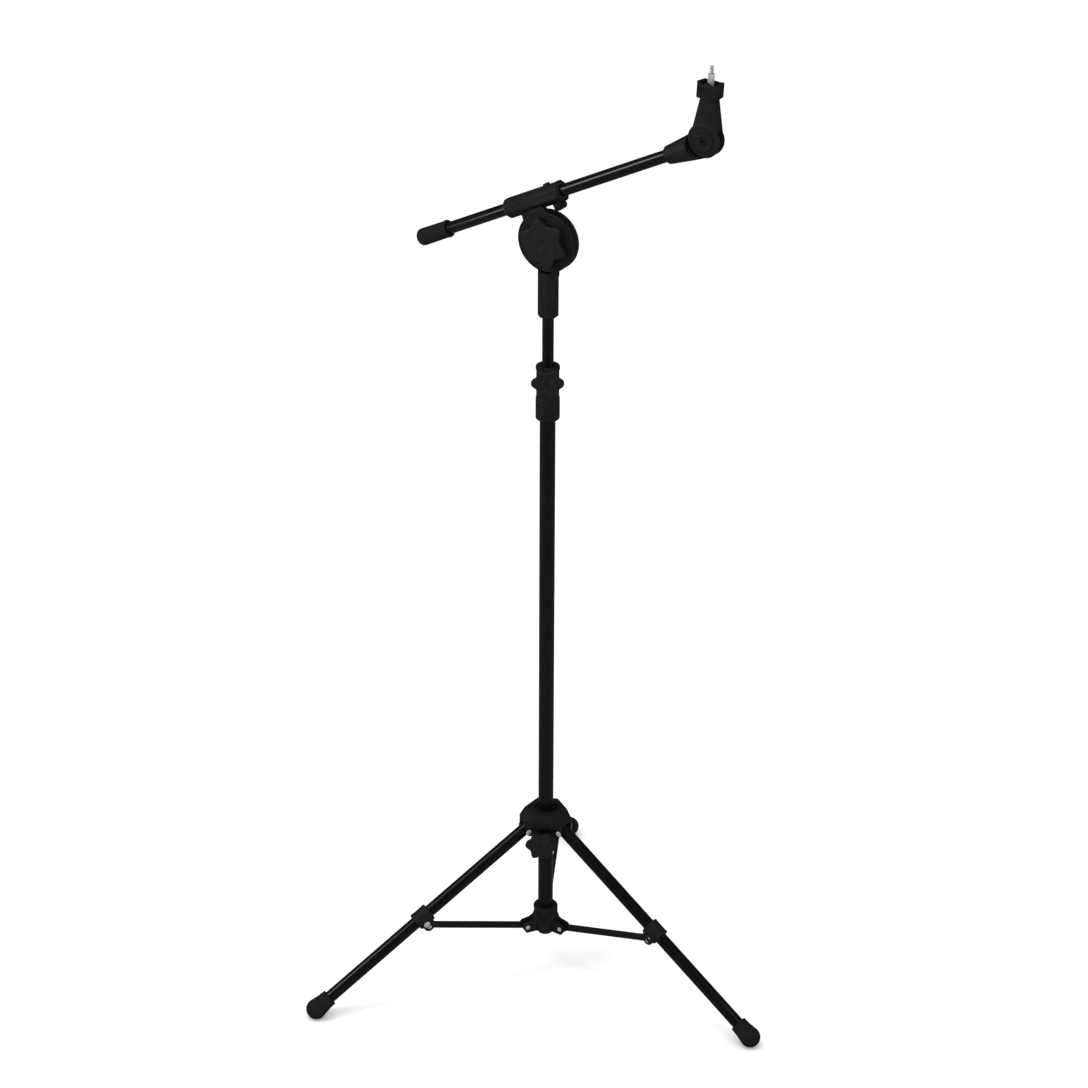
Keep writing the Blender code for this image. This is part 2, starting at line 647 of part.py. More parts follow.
def build_strut(number, azimuth):
    """Flat strut from the leg clip back to the collar, with an eye at each end."""
    radius, height, length, rise = strut_geometry()
    frame = add_frame(f"strut_frame_{number}",
                      (radius * math.cos(azimuth), radius * math.sin(azimuth), height),
                      (0, -rise, azimuth))
    eye = 0.0052
    neck = math.acos(STRUT_HALF_HEIGHT / eye)
    outer = arc(ORIGIN, eye, -math.pi / 2 + neck, math.pi / 2 - neck, 6)
    inner = arc((-length, 0), eye, math.pi / 2 + neck, 1.5 * math.pi - neck, 6)
    hole = STRUT_PIN_R + GAP
    holes = [circle(ORIGIN, hole, SMALL_SEGMENTS), circle((-length, 0), hole, SMALL_SEGMENTS)]
    strut = plate(f"strut_{number}", [outer + inner] + holes, STRUT_THICKNESS, frame, ORIGIN,
                  UPRIGHT_PLATE)
    finish(strut, SATIN_PAINT)


# Tilt joint and boom

def build_tilt_joint(disc_frame, boom_frame):
    """Socket with its disc, friction washer, bolt and the large knob."""
    socket = prism("boom_socket", 8, SOCKET_AF, SOCKET_BOTTOM, SOCKET_TOP)
    soften(socket, 0.0016)
    neck = block("socket_neck", (-0.0125, DISC_INNER, SOCKET_TOP - 0.0060),
                 (0.0125, DISC_FACE, DISC_Z))
    disc = rod("socket_disc", DISC_R, DISC_INNER, DISC_FACE, disc_frame, ORIGIN, ALONG_Y,
               FINE_SEGMENTS)
    join(socket, neck, disc)
    cut(socket, rod("socket_disc_clearance", SOCKET_CLEARANCE_R, -0.0200, 0.0, disc_frame,
                    ORIGIN, ALONG_Y, FINE_SEGMENTS))
    hole_reach = DISC_FACE + OVERLAP
    bolt_hole = rod("tilt_bolt_hole", TILT_BOLT_R + GAP, -hole_reach, hole_reach, disc_frame,
                    ORIGIN, ALONG_Y, SMALL_SEGMENTS)
    cut(socket, bolt_hole)
    cut(socket, rod("socket_bore", UPPER_R + GAP, SOCKET_BOTTOM - OVERLAP, UPPER_TOP + GAP))
    finish(socket, MATTE_PLASTIC)
    washer_half = DISC_INNER - GAP
    washer = tube("friction_washer", 0.0300, TILT_BOLT_R + GAP, -washer_half, washer_half,
                  disc_frame, ORIGIN, ALONG_Y)
    finish(washer, LINER_PLASTIC)
    knob_back = TILT_KNOB_BACK
    knob_face = TILT_KNOB_FACE
    bolt_end = knob_back - 0.0070
    head_seat = DISC_FACE + GAP
    bolt = rod("tilt_bolt", TILT_BOLT_R, bolt_end, head_seat + OVERLAP, disc_frame, ORIGIN,
               ALONG_Y, SMALL_SEGMENTS)
    join(bolt, prism("tilt_bolt_head", 6, 0.0130, head_seat, head_seat + 0.0050, disc_frame,
                     ORIGIN, ALONG_Y))
    finish(bolt, BRIGHT_STEEL)
    knob = plate("tilt_knob", [star(TILT_KNOB_LOBE_R, TILT_KNOB_VALLEY_R, math.radians(45))],
                 knob_back - knob_face, disc_frame, (0, (knob_back + knob_face) / 2, 0),
                 UPRIGHT_PLATE)
    soften(knob, 0.0020)
    neck_face = -DISC_FACE - GAP
    knob_neck = [(0, neck_face), (0.0140, neck_face), (0.0165, knob_back),
                 (0.0165, knob_back - OVERLAP), (0, knob_back - OVERLAP)]
    join(knob, turned("tilt_knob_neck", knob_neck, disc_frame, ORIGIN, ALONG_Y))
    cut(knob, rod("tilt_knob_hole", TILT_BOLT_R + GAP, bolt_end - GAP, 0, disc_frame, ORIGIN,
                  ALONG_Y, SMALL_SEGMENTS))
    finish(knob, KNOB_PLASTIC)
    build_clamp(boom_frame)


def build_clamp(frame):
    """Boom clamp: a disc, a long split sleeve with ears, its liner and its screw."""
    axis = (0, 0, BOOM_OFFSET)
    flange = CLAMP_FRONT - 0.0060
    lip = CLAMP_R + 0.0004
    sleeve = turned("boom_clamp",
                    [(0, CLAMP_FRONT), (lip, CLAMP_FRONT), (lip, flange), (CLAMP_R, flange),
                     (CLAMP_R, CLAMP_BACK + 0.0010), (CLAMP_R - 0.0010, CLAMP_BACK),
                     (0, CLAMP_BACK)],
                    frame, axis, ALONG_X)
    disc = rod("clamp_disc", DISC_R, -DISC_FACE, -DISC_INNER, frame, ORIGIN, ALONG_Y,
               FINE_SEGMENTS)
    neck = block("clamp_neck", (-0.0210, -DISC_FACE, 0.0300), (0.0210, -DISC_INNER, 0.0520),
                 frame, top_scale=(0.85, 1))
    ear_low = BOOM_OFFSET - 0.0235
    ears = block("clamp_ears", (0.0335, -0.0070, ear_low), (0.0465, 0.0070, BOOM_OFFSET),
                 frame)
    lug = block("clamp_top_lug", (0.0285, -0.0040, BOOM_OFFSET),
                (0.0355, 0.0040, BOOM_OFFSET + CLAMP_R + 0.0022), frame)
    join(sleeve, disc, neck, ears, lug)
    cut(sleeve, rod("clamp_bore", CLAMP_BORE, CLAMP_BACK - OVERLAP, CLAMP_FRONT + OVERLAP,
                    frame, axis, ALONG_X))
    cut(sleeve, block("clamp_split", (0.0240, -0.0008, ear_low - OVERLAP),
                      (CLAMP_FRONT + OVERLAP, 0.0008, BOOM_OFFSET - 0.0080), frame))
    hole_reach = DISC_FACE + OVERLAP
    cut(sleeve, rod("clamp_bolt_hole", TILT_BOLT_R + GAP, -hole_reach, 0.0, frame, ORIGIN,
                    ALONG_Y, SMALL_SEGMENTS))
    screw_spot = (0.0400, 0, BOOM_OFFSET - 0.0182)
    screw_r = 0.0020
    cut(sleeve, rod("clamp_screw_hole", screw_r + GAP, -0.0090, 0.0090, frame, screw_spot,
                    ALONG_Y, SMALL_SEGMENTS))
    finish(sleeve, MATTE_PLASTIC)
    seat = 0.0070 + GAP
    head = 0.0048
    profile = [(0, seat + 0.0052), (screw_r, seat + 0.0052), (screw_r, -seat),
               (head, -seat), (head, -seat - 0.0018), (0.6 * head, -seat - 0.0032),
               (0, -seat - 0.0032)]
    finish(turned("clamp_screw", profile, frame, screw_spot, ALONG_Y, SMALL_SEGMENTS),
           BRIGHT_STEEL)
    nut = prism("clamp_nut", 6, 0.0080, seat, seat + 0.0040, frame, screw_spot, ALONG_Y)
    cut(nut, rod("clamp_nut_hole", screw_r + GAP, 0, 0.0150, frame, screw_spot, ALONG_Y,
                 SMALL_SEGMENTS))
    finish(nut, BRIGHT_STEEL)
    liner_r = CLAMP_BORE - GAP
    shoulder = CLAMP_BACK - GAP
    mouth = CLAMP_FRONT - 0.0005
    liner = [(BOOM_R + GAP, mouth), (liner_r, mouth),
             (liner_r, shoulder), (0.0128, shoulder), (0.0128, shoulder - 0.0015),
             (BOOM_R + GAP, shoulder - 0.0015)]
    finish(turned("clamp_liner", liner, frame, axis, ALONG_X), LINER_PLASTIC)


def build_boom(frame):
    """Boom tube, its rubber end cap and the elbow socket on its front end."""
    axis = (0, 0, BOOM_OFFSET)
    tube_back = CAP_END + 0.0040
    tube_front = ELBOW_MOUTH + 0.0300
    finish(tube("boom_tube", BOOM_R, BOOM_BORE, tube_back, tube_front, frame, axis, ALONG_X),
           GLOSS_PAINT)
    bore = BOOM_R + GAP
    mouth = CAP_END + CAP_LENGTH
    cap = [(0, tube_back - GAP), (bore, tube_back - GAP), (bore, mouth), (CAP_R, mouth),
           (CAP_R + 0.0003, mouth - 0.0030), (CAP_R - 0.0002, mouth - 0.0060),
           (CAP_R, CAP_END + 0.0025), (CAP_R - 0.0022, CAP_END), (0, CAP_END)]
    finish(turned("boom_end_cap", cap, frame, axis, ALONG_X), RUBBER)
    shoulder = ELBOW_ALONG - ELBOW_CHEEK_R - 0.0010
    depth = tube_front + GAP
    cone = [(0, shoulder), (ELBOW_CONE_R, shoulder), (0.0125, ELBOW_MOUTH + 0.0006),
            (0.0119, ELBOW_MOUTH), (bore, ELBOW_MOUTH), (bore, depth), (0, depth)]
    socket = turned("elbow_socket", cone, frame, axis, ALONG_X)
    pivot = (ELBOW_ALONG, 0, BOOM_OFFSET + ELBOW_RISE)
    half = ELBOW_TONGUE_HALF
    tongue = block("elbow_tongue", (shoulder - 0.0060, -half, BOOM_OFFSET - 0.0150),
                   (ELBOW_ALONG, half, BOOM_OFFSET + 0.0150), frame)
    round_end = rod("elbow_tongue_end", ELBOW_TONGUE_R, -half, half, frame, pivot, ALONG_Y)
    join(socket, tongue, round_end)
    cut(socket, rod("elbow_tongue_hole", ELBOW_BOLT_R + GAP, -half - OVERLAP, half + OVERLAP,
                    frame, pivot, ALONG_Y, SMALL_SEGMENTS))
    finish(socket, MATTE_PLASTIC)
    build_elbow_fixings(frame, pivot)


def build_elbow_fixings(frame, pivot):
    """Socket-head bolt through the elbow, and its lock nut."""
    sink = 0.0020
    floor = ELBOW_CHEEK_FACE - sink + GAP
    head_top = -floor - 0.0034
    nut_seat = ELBOW_CHEEK_FACE + 0.0010 + GAP
    profile = [(0, nut_seat + 0.0060), (ELBOW_BOLT_R, nut_seat + 0.0060),
               (ELBOW_BOLT_R, -floor), (0.0050, -floor), (0.0050, head_top), (0, head_top)]
    bolt = turned("elbow_bolt", profile, frame, pivot, ALONG_Y, SMALL_SEGMENTS)
    cut(bolt, prism("elbow_bolt_key", 6, 0.0040, head_top - OVERLAP, head_top + 0.0022,
                    frame, pivot, ALONG_Y))
    finish(bolt, SATIN_PAINT)
    nut = prism("elbow_nut", 6, 0.0100, nut_seat, nut_seat + 0.0052, frame, pivot, ALONG_Y)
    cut(nut, rod("elbow_nut_hole", ELBOW_BOLT_R + GAP, 0, 0.0300, frame, pivot, ALONG_Y,
                 SMALL_SEGMENTS))
    finish(nut, BRIGHT_STEEL)


def build_arm(frame, line):
    """Forked arm on the elbow's axis, with its saddle, stud and nut on the arm's own line."""
    face = ELBOW_CHEEK_FACE
    rim = face - 0.0025
    face_r = ELBOW_CHEEK_R - 0.0025
    boss_face = face + 0.0010
    boss_r = 0.0145
    hole_r = ELBOW_BOLT_R + GAP
    sink_r = 0.0053
    sink_floor = -face + 0.0020
    profile = [(hole_r, boss_face), (boss_r, boss_face), (boss_r, face), (face_r, face),
               (ELBOW_CHEEK_R, rim), (ELBOW_CHEEK_R, -rim), (face_r, -face), (boss_r, -face),
               (boss_r, -boss_face), (sink_r, -boss_face), (sink_r, sink_floor),
               (hole_r, sink_floor)]
    arm = turned("elbow_arm", profile, frame, ORIGIN, ALONG_Y)
    body_half = face - 0.0006
    join(arm, block("arm_body", (-0.0185, -body_half, 0.0120), (0.0185, body_half, ARM_TOP),
                    line, rotation=ALONG_X, top_scale=(0.54, 0.82)))
    half = ELBOW_TONGUE_HALF + 0.0004
    cut(arm, rod("arm_slot", ELBOW_CLEARANCE_R, -half, half, frame, ORIGIN, ALONG_Y))
    stud_foot = ARM_TOP - 0.0080
    cut(arm, rod("arm_stud_hole", STUD_R + GAP, stud_foot - GAP, ARM_TOP + OVERLAP, line,
                 ORIGIN, ALONG_X, SMALL_SEGMENTS))
    finish(arm, MATTE_PLASTIC)
    build_saddle(line)
    finish(rod("stud", STUD_R, stud_foot, STUD_TOP, line, ORIGIN, ALONG_X, SMALL_SEGMENTS),
           BRIGHT_STEEL)
    nut = prism("stud_nut", 6, 0.0085, CUP_FLOOR + GAP, STUD_NUT_TOP, line, ORIGIN, ALONG_X)
    cut(nut, rod("stud_nut_hole", STUD_R + GAP, CUP_FLOOR - OVERLAP, STUD_NUT_TOP + OVERLAP,
                 line, ORIGIN, ALONG_X, SMALL_SEGMENTS))
    finish(nut, BRIGHT_STEEL)


def build_saddle(frame):
    """Saddle block over the arm's top, with a hollowed, wavy rim."""
    half_width = CUP_WIDTH / 2
    half_depth = CUP_DEPTH / 2
    saddle = block("saddle_cup", (CUP_BOTTOM, -half_depth, -half_width),
                   (CUP_RIM, half_depth, half_width), frame)
    soften(saddle, 0.0012)
    wall = 0.0028
    cut(saddle, block("saddle_hollow", (CUP_FLOOR, -half_depth + wall, -half_width + wall),
                      (CUP_RIM + OVERLAP, half_depth - wall, half_width - wall), frame))
    seat_y = 0.0080
    seat_z = 0.0112
    cut(saddle, block("saddle_seat", (CUP_BOTTOM - OVERLAP, -seat_y, -seat_z),
                      (ARM_TOP + GAP, seat_y, seat_z), frame))
    for label, offset in (("left", -0.0075), ("right", 0.0075)):
        cut(saddle, rod("saddle_scallop_" + label, 0.0080, -0.0200, 0.0200, frame,
                        (CUP_RIM + 0.0056, 0, offset), ALONG_Y))
    cut(saddle, rod("saddle_stud_hole", STUD_R + GAP, CUP_BOTTOM, CUP_RIM, frame, ORIGIN,
                    ALONG_X, SMALL_SEGMENTS))
    finish(saddle, RUBBER)


def stand_in_the_middle():
    """Move the finished stand so that the origin is in the middle of its outline."""
    for obj in list(PARTS.objects) + list(CUTTERS.objects):
        if obj.parent is None:
            obj.location.x += MAST_X
            obj.location.y += MAST_Y


def build_stand():
    """Build every piece of the stand."""
    clear_scene()
    build_mast()
    build_upper_tube()
    build_clutch()
    build_hub()
    build_collar()
    for number, azimuth in enumerate(LEG_AZIMUTHS, 1):
        build_leg(number, azimuth)
    disc_centre = Vector((0, 0, DISC_Z))
    disc_frame = add_frame("disc_frame", disc_centre, ORIGIN)
    boom_frame = add_frame("boom_frame", disc_centre, (0, -BOOM_TILT, 0))
    build_tilt_joint(disc_frame, boom_frame)
    build_boom(boom_frame)
    along = Vector((math.cos(BOOM_TILT), 0, math.sin(BOOM_TILT)))
    across = Vector((-math.sin(BOOM_TILT), 0, math.cos(BOOM_TILT)))
    elbow = disc_centre + ELBOW_ALONG * along + (BOOM_OFFSET + ELBOW_RISE) * across
    forward = Vector((math.sin(ARM_ANGLE), 0, -math.cos(ARM_ANGLE)))
    arm_frame = add_frame("arm_frame", elbow, (0, -ARM_ANGLE, 0))
    line_frame = add_frame("arm_line_frame", elbow + ARM_SHIFT * forward,
                           (0, -ARM_ANGLE, 0))
    build_arm(arm_frame, line_frame)
    stand_in_the_middle()


build_stand()
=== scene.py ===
"""Looks of the boom microphone stand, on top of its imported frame. Lengths are in metres."""
import json
import math

import bmesh
import bpy
from mathutils import Matrix, Vector


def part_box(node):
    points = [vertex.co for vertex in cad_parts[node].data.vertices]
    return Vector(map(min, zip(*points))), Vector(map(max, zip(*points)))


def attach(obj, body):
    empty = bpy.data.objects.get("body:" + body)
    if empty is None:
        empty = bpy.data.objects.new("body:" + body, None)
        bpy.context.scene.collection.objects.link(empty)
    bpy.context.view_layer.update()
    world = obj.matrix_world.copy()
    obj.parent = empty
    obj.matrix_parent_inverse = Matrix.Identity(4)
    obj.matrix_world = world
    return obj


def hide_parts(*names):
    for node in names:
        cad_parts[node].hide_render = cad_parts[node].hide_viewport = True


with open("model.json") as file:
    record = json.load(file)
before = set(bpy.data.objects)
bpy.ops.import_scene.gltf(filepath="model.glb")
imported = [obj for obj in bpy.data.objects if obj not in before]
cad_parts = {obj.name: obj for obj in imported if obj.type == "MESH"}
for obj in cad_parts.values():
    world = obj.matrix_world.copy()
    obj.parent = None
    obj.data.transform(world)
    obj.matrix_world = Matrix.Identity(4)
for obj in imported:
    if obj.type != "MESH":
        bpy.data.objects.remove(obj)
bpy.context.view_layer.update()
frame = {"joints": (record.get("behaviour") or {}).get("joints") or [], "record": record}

JOINTS = {joint["name"]: joint for joint in frame["joints"]}

# Fits and fineness
GAP = 0.0003
OVERLAP = 0.002
ROUND = 64
SMALL_ROUND = 40
HOLE_ROUND = 24
LARGE_ROUND = 96
CREASE = math.radians(32)
BEVEL_ANGLE = math.radians(38)
FULL = 2 * math.pi

# Booleans, run in millimetres
BENCH = 1000
NUDGE = 0.0031
NUDGES = 6
NUDGE_SHARES = (1.0, 0.7, -0.6)
VOLUME_SLACK = 0.001
UNSOUND = 100000
WELD = 0.002
PINHOLE_SIDES = 12

# Tripod
LEG_AZIMUTHS = [math.radians(-6 + 120 * index) for index in range(3)]
LEG_DROP = math.radians(34.3)
LEG_R = 0.0090
LEG_BORE = 0.0078
LEG_BACK = -0.0060
LEG_END = 0.3955
LEG_LENGTH = 0.4020
CLIP_ALONG = 0.1999
CLIP_DROP = 0.0167
COLLAR_PIVOT_R = 0.0320
COLLAR_PIVOT_Z = 0.0720
HUB_PIVOT_R = 0.0330
HUB_PIVOT_Z = 0.2400
STRUT_SLOT_HALF = 0.0032
LEG_PIN_HOLE = 0.0028
STRUT_PIN_HOLE = 0.0021

# Mast
MAST_R = 0.0110
MAST_BORE = 0.0098
MAST_BOTTOM = 0.0570
MAST_TOP = 0.9400
UPPER_R = 0.0080
CLUTCH_R = 0.0168
CLUTCH_TOP = 0.9720
CLUTCH_BOTTOM = 0.8930

# Tilt joint, boom and head
DISC_R = 0.0430
DISC_FACE = 0.0090
DISC_INNER = 0.0008
TILT_HOLE = 0.0043
SCREW_HOLE = 0.0033
BOOM_R = 0.0084
BOOM_OFFSET = 0.0580
CLAMP_R = 0.0142
CLAMP_BACK = -0.0385
CLAMP_FRONT = 0.0525
CAP_END = -0.1970
CAP_LENGTH = 0.0515
CAP_R = 0.0121
ELBOW_ALONG = 0.2910
ELBOW_RISE = 0.0040
ELBOW_MOUTH = 0.2285
CHEEK_R = 0.0235
CHEEK_FACE = 0.0095
ARM_SHIFT = 0.0010
ARM_TOP = 0.0608
CUP_BOTTOM = 0.0568
CUP_FLOOR = 0.0723
CUP_RIM = 0.0768
CUP_FRONT = 0.0800
STUD_R = 0.0025
STUD_TOP = 0.0998
THREAD_PITCH = 0.0009
THREAD_DEPTH = 0.00055
THREAD_ROWS = 7

# Hand knobs
KNOB_LOBES = 6
KNOB_POINTS = 144
LOBE_SHARPNESS = 0.16
SMALL_KNOB_LOBE = 0.0225

# Camera, with its spot measured to the right of the mast, beyond it and above the floor
CAMERA_AZIMUTH = math.radians(30)
CAMERA_PITCH = math.radians(26.49)
CAMERA_ROLL = math.radians(0.234)
CAMERA_SPOT = (-0.0043, -4.0755, 2.7295)
CAMERA_SENSOR = 36
CAMERA_LENS = 107.2

# Studio: each softbox has a name, a spot, a size and a power
SOFTBOXES = (("top_softbox", (-0.4, -0.6, 3.2), (1.6, 0.35), 10),
             ("left_softbox", (-2.2, -2.0, 1.8), (0.28, 1.8), 15),
             ("right_softbox", (2.6, -0.6, 1.6), (0.25, 1.8), 9))
LIGHT_AIM = 0.8
STRIP_SIZE = (1.8, 0.14)
STRIP_POWER = 7
STRIP_SIDE = (-0.40, -0.40, 0.82)
STRIP_DISTANCE = 2.4
FLOOR_REACH = 12
FLOOR_DROP = 0.0002
FLOOR_WHITE = 0.92
FLOOR_IN_GLOSS = 0.10
SKY_LIGHT = 1.12
SKY_IN_GLOSS = 0.05


# Frames of the jointed pieces, from the record

MAST = Matrix.Translation((*JOINTS["mast_swivel"]["pos_m"][:2], 0))


def at(matrix, x, y, z):
    """Frame moved along its own axes."""
    return matrix @ Matrix.Translation((x, y, z))


def basis(origin, along, side):
    """Frame with its X axis along one direction and its Y axis along another."""
    x = Vector(along).normalized()
    y = Vector(side).normalized()
    z = x.cross(y)
    matrix = Matrix((x, y, z)).transposed().to_4x4()
    matrix.translation = Vector(origin)
    return matrix


def radial(azimuth, height=0.0):
    """Frame on the mast's axis whose X axis points out at an azimuth."""
    return at(MAST, 0, 0, height) @ Matrix.Rotation(azimuth, 4, "Z")


def leg_frame(number):
    """Frame of a leg: X runs down the tube from its pivot, Z is square to it, upwards."""
    joint = JOINTS[f"leg_fold_{number}"]
    azimuth = LEG_AZIMUTHS[number - 1]
    out = Vector((math.cos(azimuth), math.sin(azimuth), 0))
    down = out * math.cos(LEG_DROP) - Vector((0, 0, math.sin(LEG_DROP)))
    return basis(joint["pos_m"], down, joint["axis"])


def strut_frame(number):
    """Frame of a strut: X runs outwards along it, with the inner eye at -length."""
    joint = JOINTS[f"strut_fold_{number}"]
    azimuth = LEG_AZIMUTHS[number - 1]
    out = Vector((math.cos(azimuth), math.sin(azimuth), 0))
    outer = Vector(joint["pos_m"])
    inner = MAST.translation + out * COLLAR_PIVOT_R + Vector((0, 0, COLLAR_PIVOT_Z))
    return basis(outer, outer - inner, joint["axis"]), (outer - inner).length


SIDE = (0, 1, 0)
DISC = Matrix.Translation(JOINTS["boom_tilt"]["pos_m"])
BOOM = basis(JOINTS["boom_tilt"]["pos_m"], JOINTS["boom_slide"]["axis"], SIDE)
TUBE = at(BOOM, 0, 0, BOOM_OFFSET)
ARM = basis(JOINTS["elbow_tilt"]["pos_m"], JOINTS["stud_nut_turn"]["axis"], SIDE)
LINE = at(ARM, 0, 0, -ARM_SHIFT)


# Outlines

def arc(centre, radius, start, end, steps):
    """List points round a circle from one angle to another."""
    return [(centre[0] + radius * math.cos(start + (end - start) * i / steps),
             centre[1] + radius * math.sin(start + (end - start) * i / steps))
            for i in range(steps + 1)]


def soften(points, radius, closed=True, steps=4):
    """Round a flat outline's corners; radius is one length or one for each corner."""
    count = len(points)
    result = []
    for i, point in enumerate(points):
        if not closed and i in (0, count - 1):
            result.append(point)
            continue
        corner = Vector(point)
        before = Vector(points[i - 1]) - corner
        after = Vector(points[(i + 1) % count]) - corner
        want = radius[i] if isinstance(radius, (list, tuple)) else radius
        reach = min(want, 0.45 * before.length, 0.45 * after.length)
        if reach <= 0 or abs(before.normalized().cross(after.normalized())) < 0.05:
            result.append(point)
            continue
        start = corner + before.normalized() * reach
        end = corner + after.normalized() * reach
        for step in range(steps + 1):
            t = step / steps
            spot = start * (1 - t) ** 2 + corner * 2 * t * (1 - t) + end * t ** 2
            result.append(tuple(spot))
    return result


def inset(points, distance):
    """Move a closed anticlockwise outline inwards."""
    count = len(points)
    moved = []
    for i, point in enumerate(points):
        here = Vector(point)
        back = (here - Vector(points[i - 1])).normalized()
        ahead = (Vector(points[(i + 1) % count]) - here).normalized()
        first = Vector((-back.y, back.x))
        second = Vector((-ahead.y, ahead.x))
        mitre = (first + second) / max(0.3, 1 + first.dot(second))
        moved.append(tuple(here + mitre * distance))
    return moved


def lobed(lobe, valley, phase, points, shrink):
    """List points round a lobed knob outline, moved in by a shrink."""
    mean = (lobe + valley) / 2 - shrink
    wave = (lobe - valley) / 2
    ring = []
    for i in range(points):
        angle = FULL * i / points
        swing = math.cos(KNOB_LOBES * (angle - phase))
        radius = mean + wave * (swing + LOBE_SHARPNESS * (swing * swing - 0.5))
        ring.append((radius * math.cos(angle), radius * math.sin(angle)))
    return ring


def polygon(sides, apothem, phase):
    """List the corners of a regular outline, from the distance to its flats."""
    corner = apothem / math.cos(math.pi / sides)
    return [(corner * math.cos(phase + FULL / sides * i),
             corner * math.sin(phase + FULL / sides * i)) for i in range(sides)]


def ring(radius, points=ROUND):
    """List points all round a circle."""
    return [(radius * math.cos(FULL * i / points), radius * math.sin(FULL * i / points))
            for i in range(points)]


# Solids

def place(axis, a, b, along):
    """Put outline point (a, b) at a distance along an axis."""
    return {"X": (along, a, b), "Y": (a, along, b), "Z": (a, b, along)}[axis]


def new_object(name, shape, matrix):
    """Link a finished bmesh as an object in a frame."""
    bmesh.ops.remove_doubles(shape, verts=shape.verts, dist=0.000002)
    bmesh.ops.recalc_face_normals(shape, faces=shape.faces)
    mesh = bpy.data.meshes.new(name)
    shape.to_mesh(mesh)
    shape.free()
    obj = bpy.data.objects.new(name, mesh)
    obj.matrix_basis = matrix
    bpy.context.scene.collection.objects.link(obj)
    shade(obj)
    return obj


def settle(obj):
    """Move an object's frame into its vertices."""
    obj.data.transform(obj.matrix_basis)
    obj.matrix_basis = Matrix.Identity(4)


def shade(obj):
    """Smooth an object's faces, except across sharp edges."""
    for polygon in obj.data.polygons:
        polygon.use_smooth = True
    obj.data.set_sharp_from_angle(angle=CREASE)


def skin(name, rings, matrix=MAST, axis="Z", closed=False):
    """Skin a list of (outline, height) rings; a one-point outline is a pole."""
    shape = bmesh.new()
    levels = [[shape.verts.new(place(axis, a, b, height)) for a, b in outline]
              for outline, height in rings]
    pairs = list(zip(levels, levels[1:]))
    if closed:
        pairs.append((levels[-1], levels[0]))
    for low, high in pairs:
        count = max(len(low), len(high))
        for i in range(count):
            j = (i + 1) % count
            if len(low) == 1:
                shape.faces.new((low[0], high[j], high[i]))
            elif len(high) == 1:
                shape.faces.new((low[i], low[j], high[0]))
            else:
                shape.faces.new((low[i], low[j], high[j], high[i]))
    if not closed:
        if len(levels[0]) > 1:
            shape.faces.new(list(reversed(levels[0])))
        if len(levels[-1]) > 1:
            shape.faces.new(levels[-1])
    return new_object(name, shape, matrix)


def lathe(name, profile, matrix=MAST, axis="Z", soft=0.0004, segments=ROUND):
    """Turn a (radius, height) profile with rounded corners."""
    closed = profile[0][0] > 0
    profile = soften(profile, soft, closed, 3)
    rings = [(ring(radius, segments) if radius > 0 else [(0, 0)], height)
             for radius, height in profile]
    return skin(name, rings, matrix, axis, closed)


def rod(radius, low, high, matrix=MAST, axis="Z", segments=SMALL_ROUND):
    """Plain rod, used as a tool."""
    return skin("tool", [(ring(radius, segments), low), (ring(radius, segments), high)],
                matrix, axis)


def rounded_ends(shrunk, low, high, edge, steps):
    """List rings with rounded edges at both ends; shrunk gives the outline for an inset."""
    angles = [math.pi / 2 * step / steps for step in range(steps + 1)]
    rings = [(shrunk(edge * (1 - math.sin(angle))), low + edge * (1 - math.cos(angle)))
             for angle in angles]
    return rings + [(shrunk(edge * (1 - math.sin(angle))), high - edge * (1 - math.cos(angle)))
                    for angle in reversed(angles)]


def slab(name, outline, low, high, matrix=MAST, axis="Z", edge=0.0005, steps=3):
    """Extrude a flat outline, with rounded edges at both ends."""
    rings = rounded_ends(lambda shrink: inset(outline, shrink), low, high, edge, steps)
    return skin(name, rings, matrix, axis)


def anticlockwise(points):
    """Return the outline in anticlockwise order."""
    area = sum(points[i - 1][0] * points[i][1] - points[i][0] * points[i - 1][1]
               for i in range(len(points)))
    return points if area > 0 else list(reversed(points))


def box(low, high, matrix=MAST):
    """Plain box, used as a tool."""
    outline = [(low[0], low[1]), (high[0], low[1]), (high[0], high[1]), (low[0], high[1])]
    return skin("tool", [(outline, low[2]), (outline, high[2])], matrix, "Z")


def measure(mesh):
    """Return a mesh's volume and its number of open edges."""
    shape = bmesh.new()
    shape.from_mesh(mesh)
    volume = shape.calc_volume(signed=True)
    gaps = sum(1 for edge in shape.edges if len(edge.link_faces) != 2)
    shape.free()
    return volume, gaps


def mend(mesh):
    """Weld slivers and close the pinholes that a Boolean can leave."""
    shape = bmesh.new()
    shape.from_mesh(mesh)
    bmesh.ops.remove_doubles(shape, verts=shape.verts, dist=WELD)
    bmesh.ops.dissolve_degenerate(shape, dist=WELD, edges=shape.edges)
    edges = [edge for edge in shape.edges if len(edge.link_faces) == 1]
    if edges:
        bmesh.ops.holes_fill(shape, edges=edges, sides=PINHOLE_SIDES)
    stray = [edge for edge in shape.edges if not edge.link_faces]
    bmesh.ops.delete(shape, geom=stray, context="EDGES")
    bmesh.ops.recalc_face_normals(shape, faces=shape.faces)
    shape.to_mesh(mesh)
    shape.free()


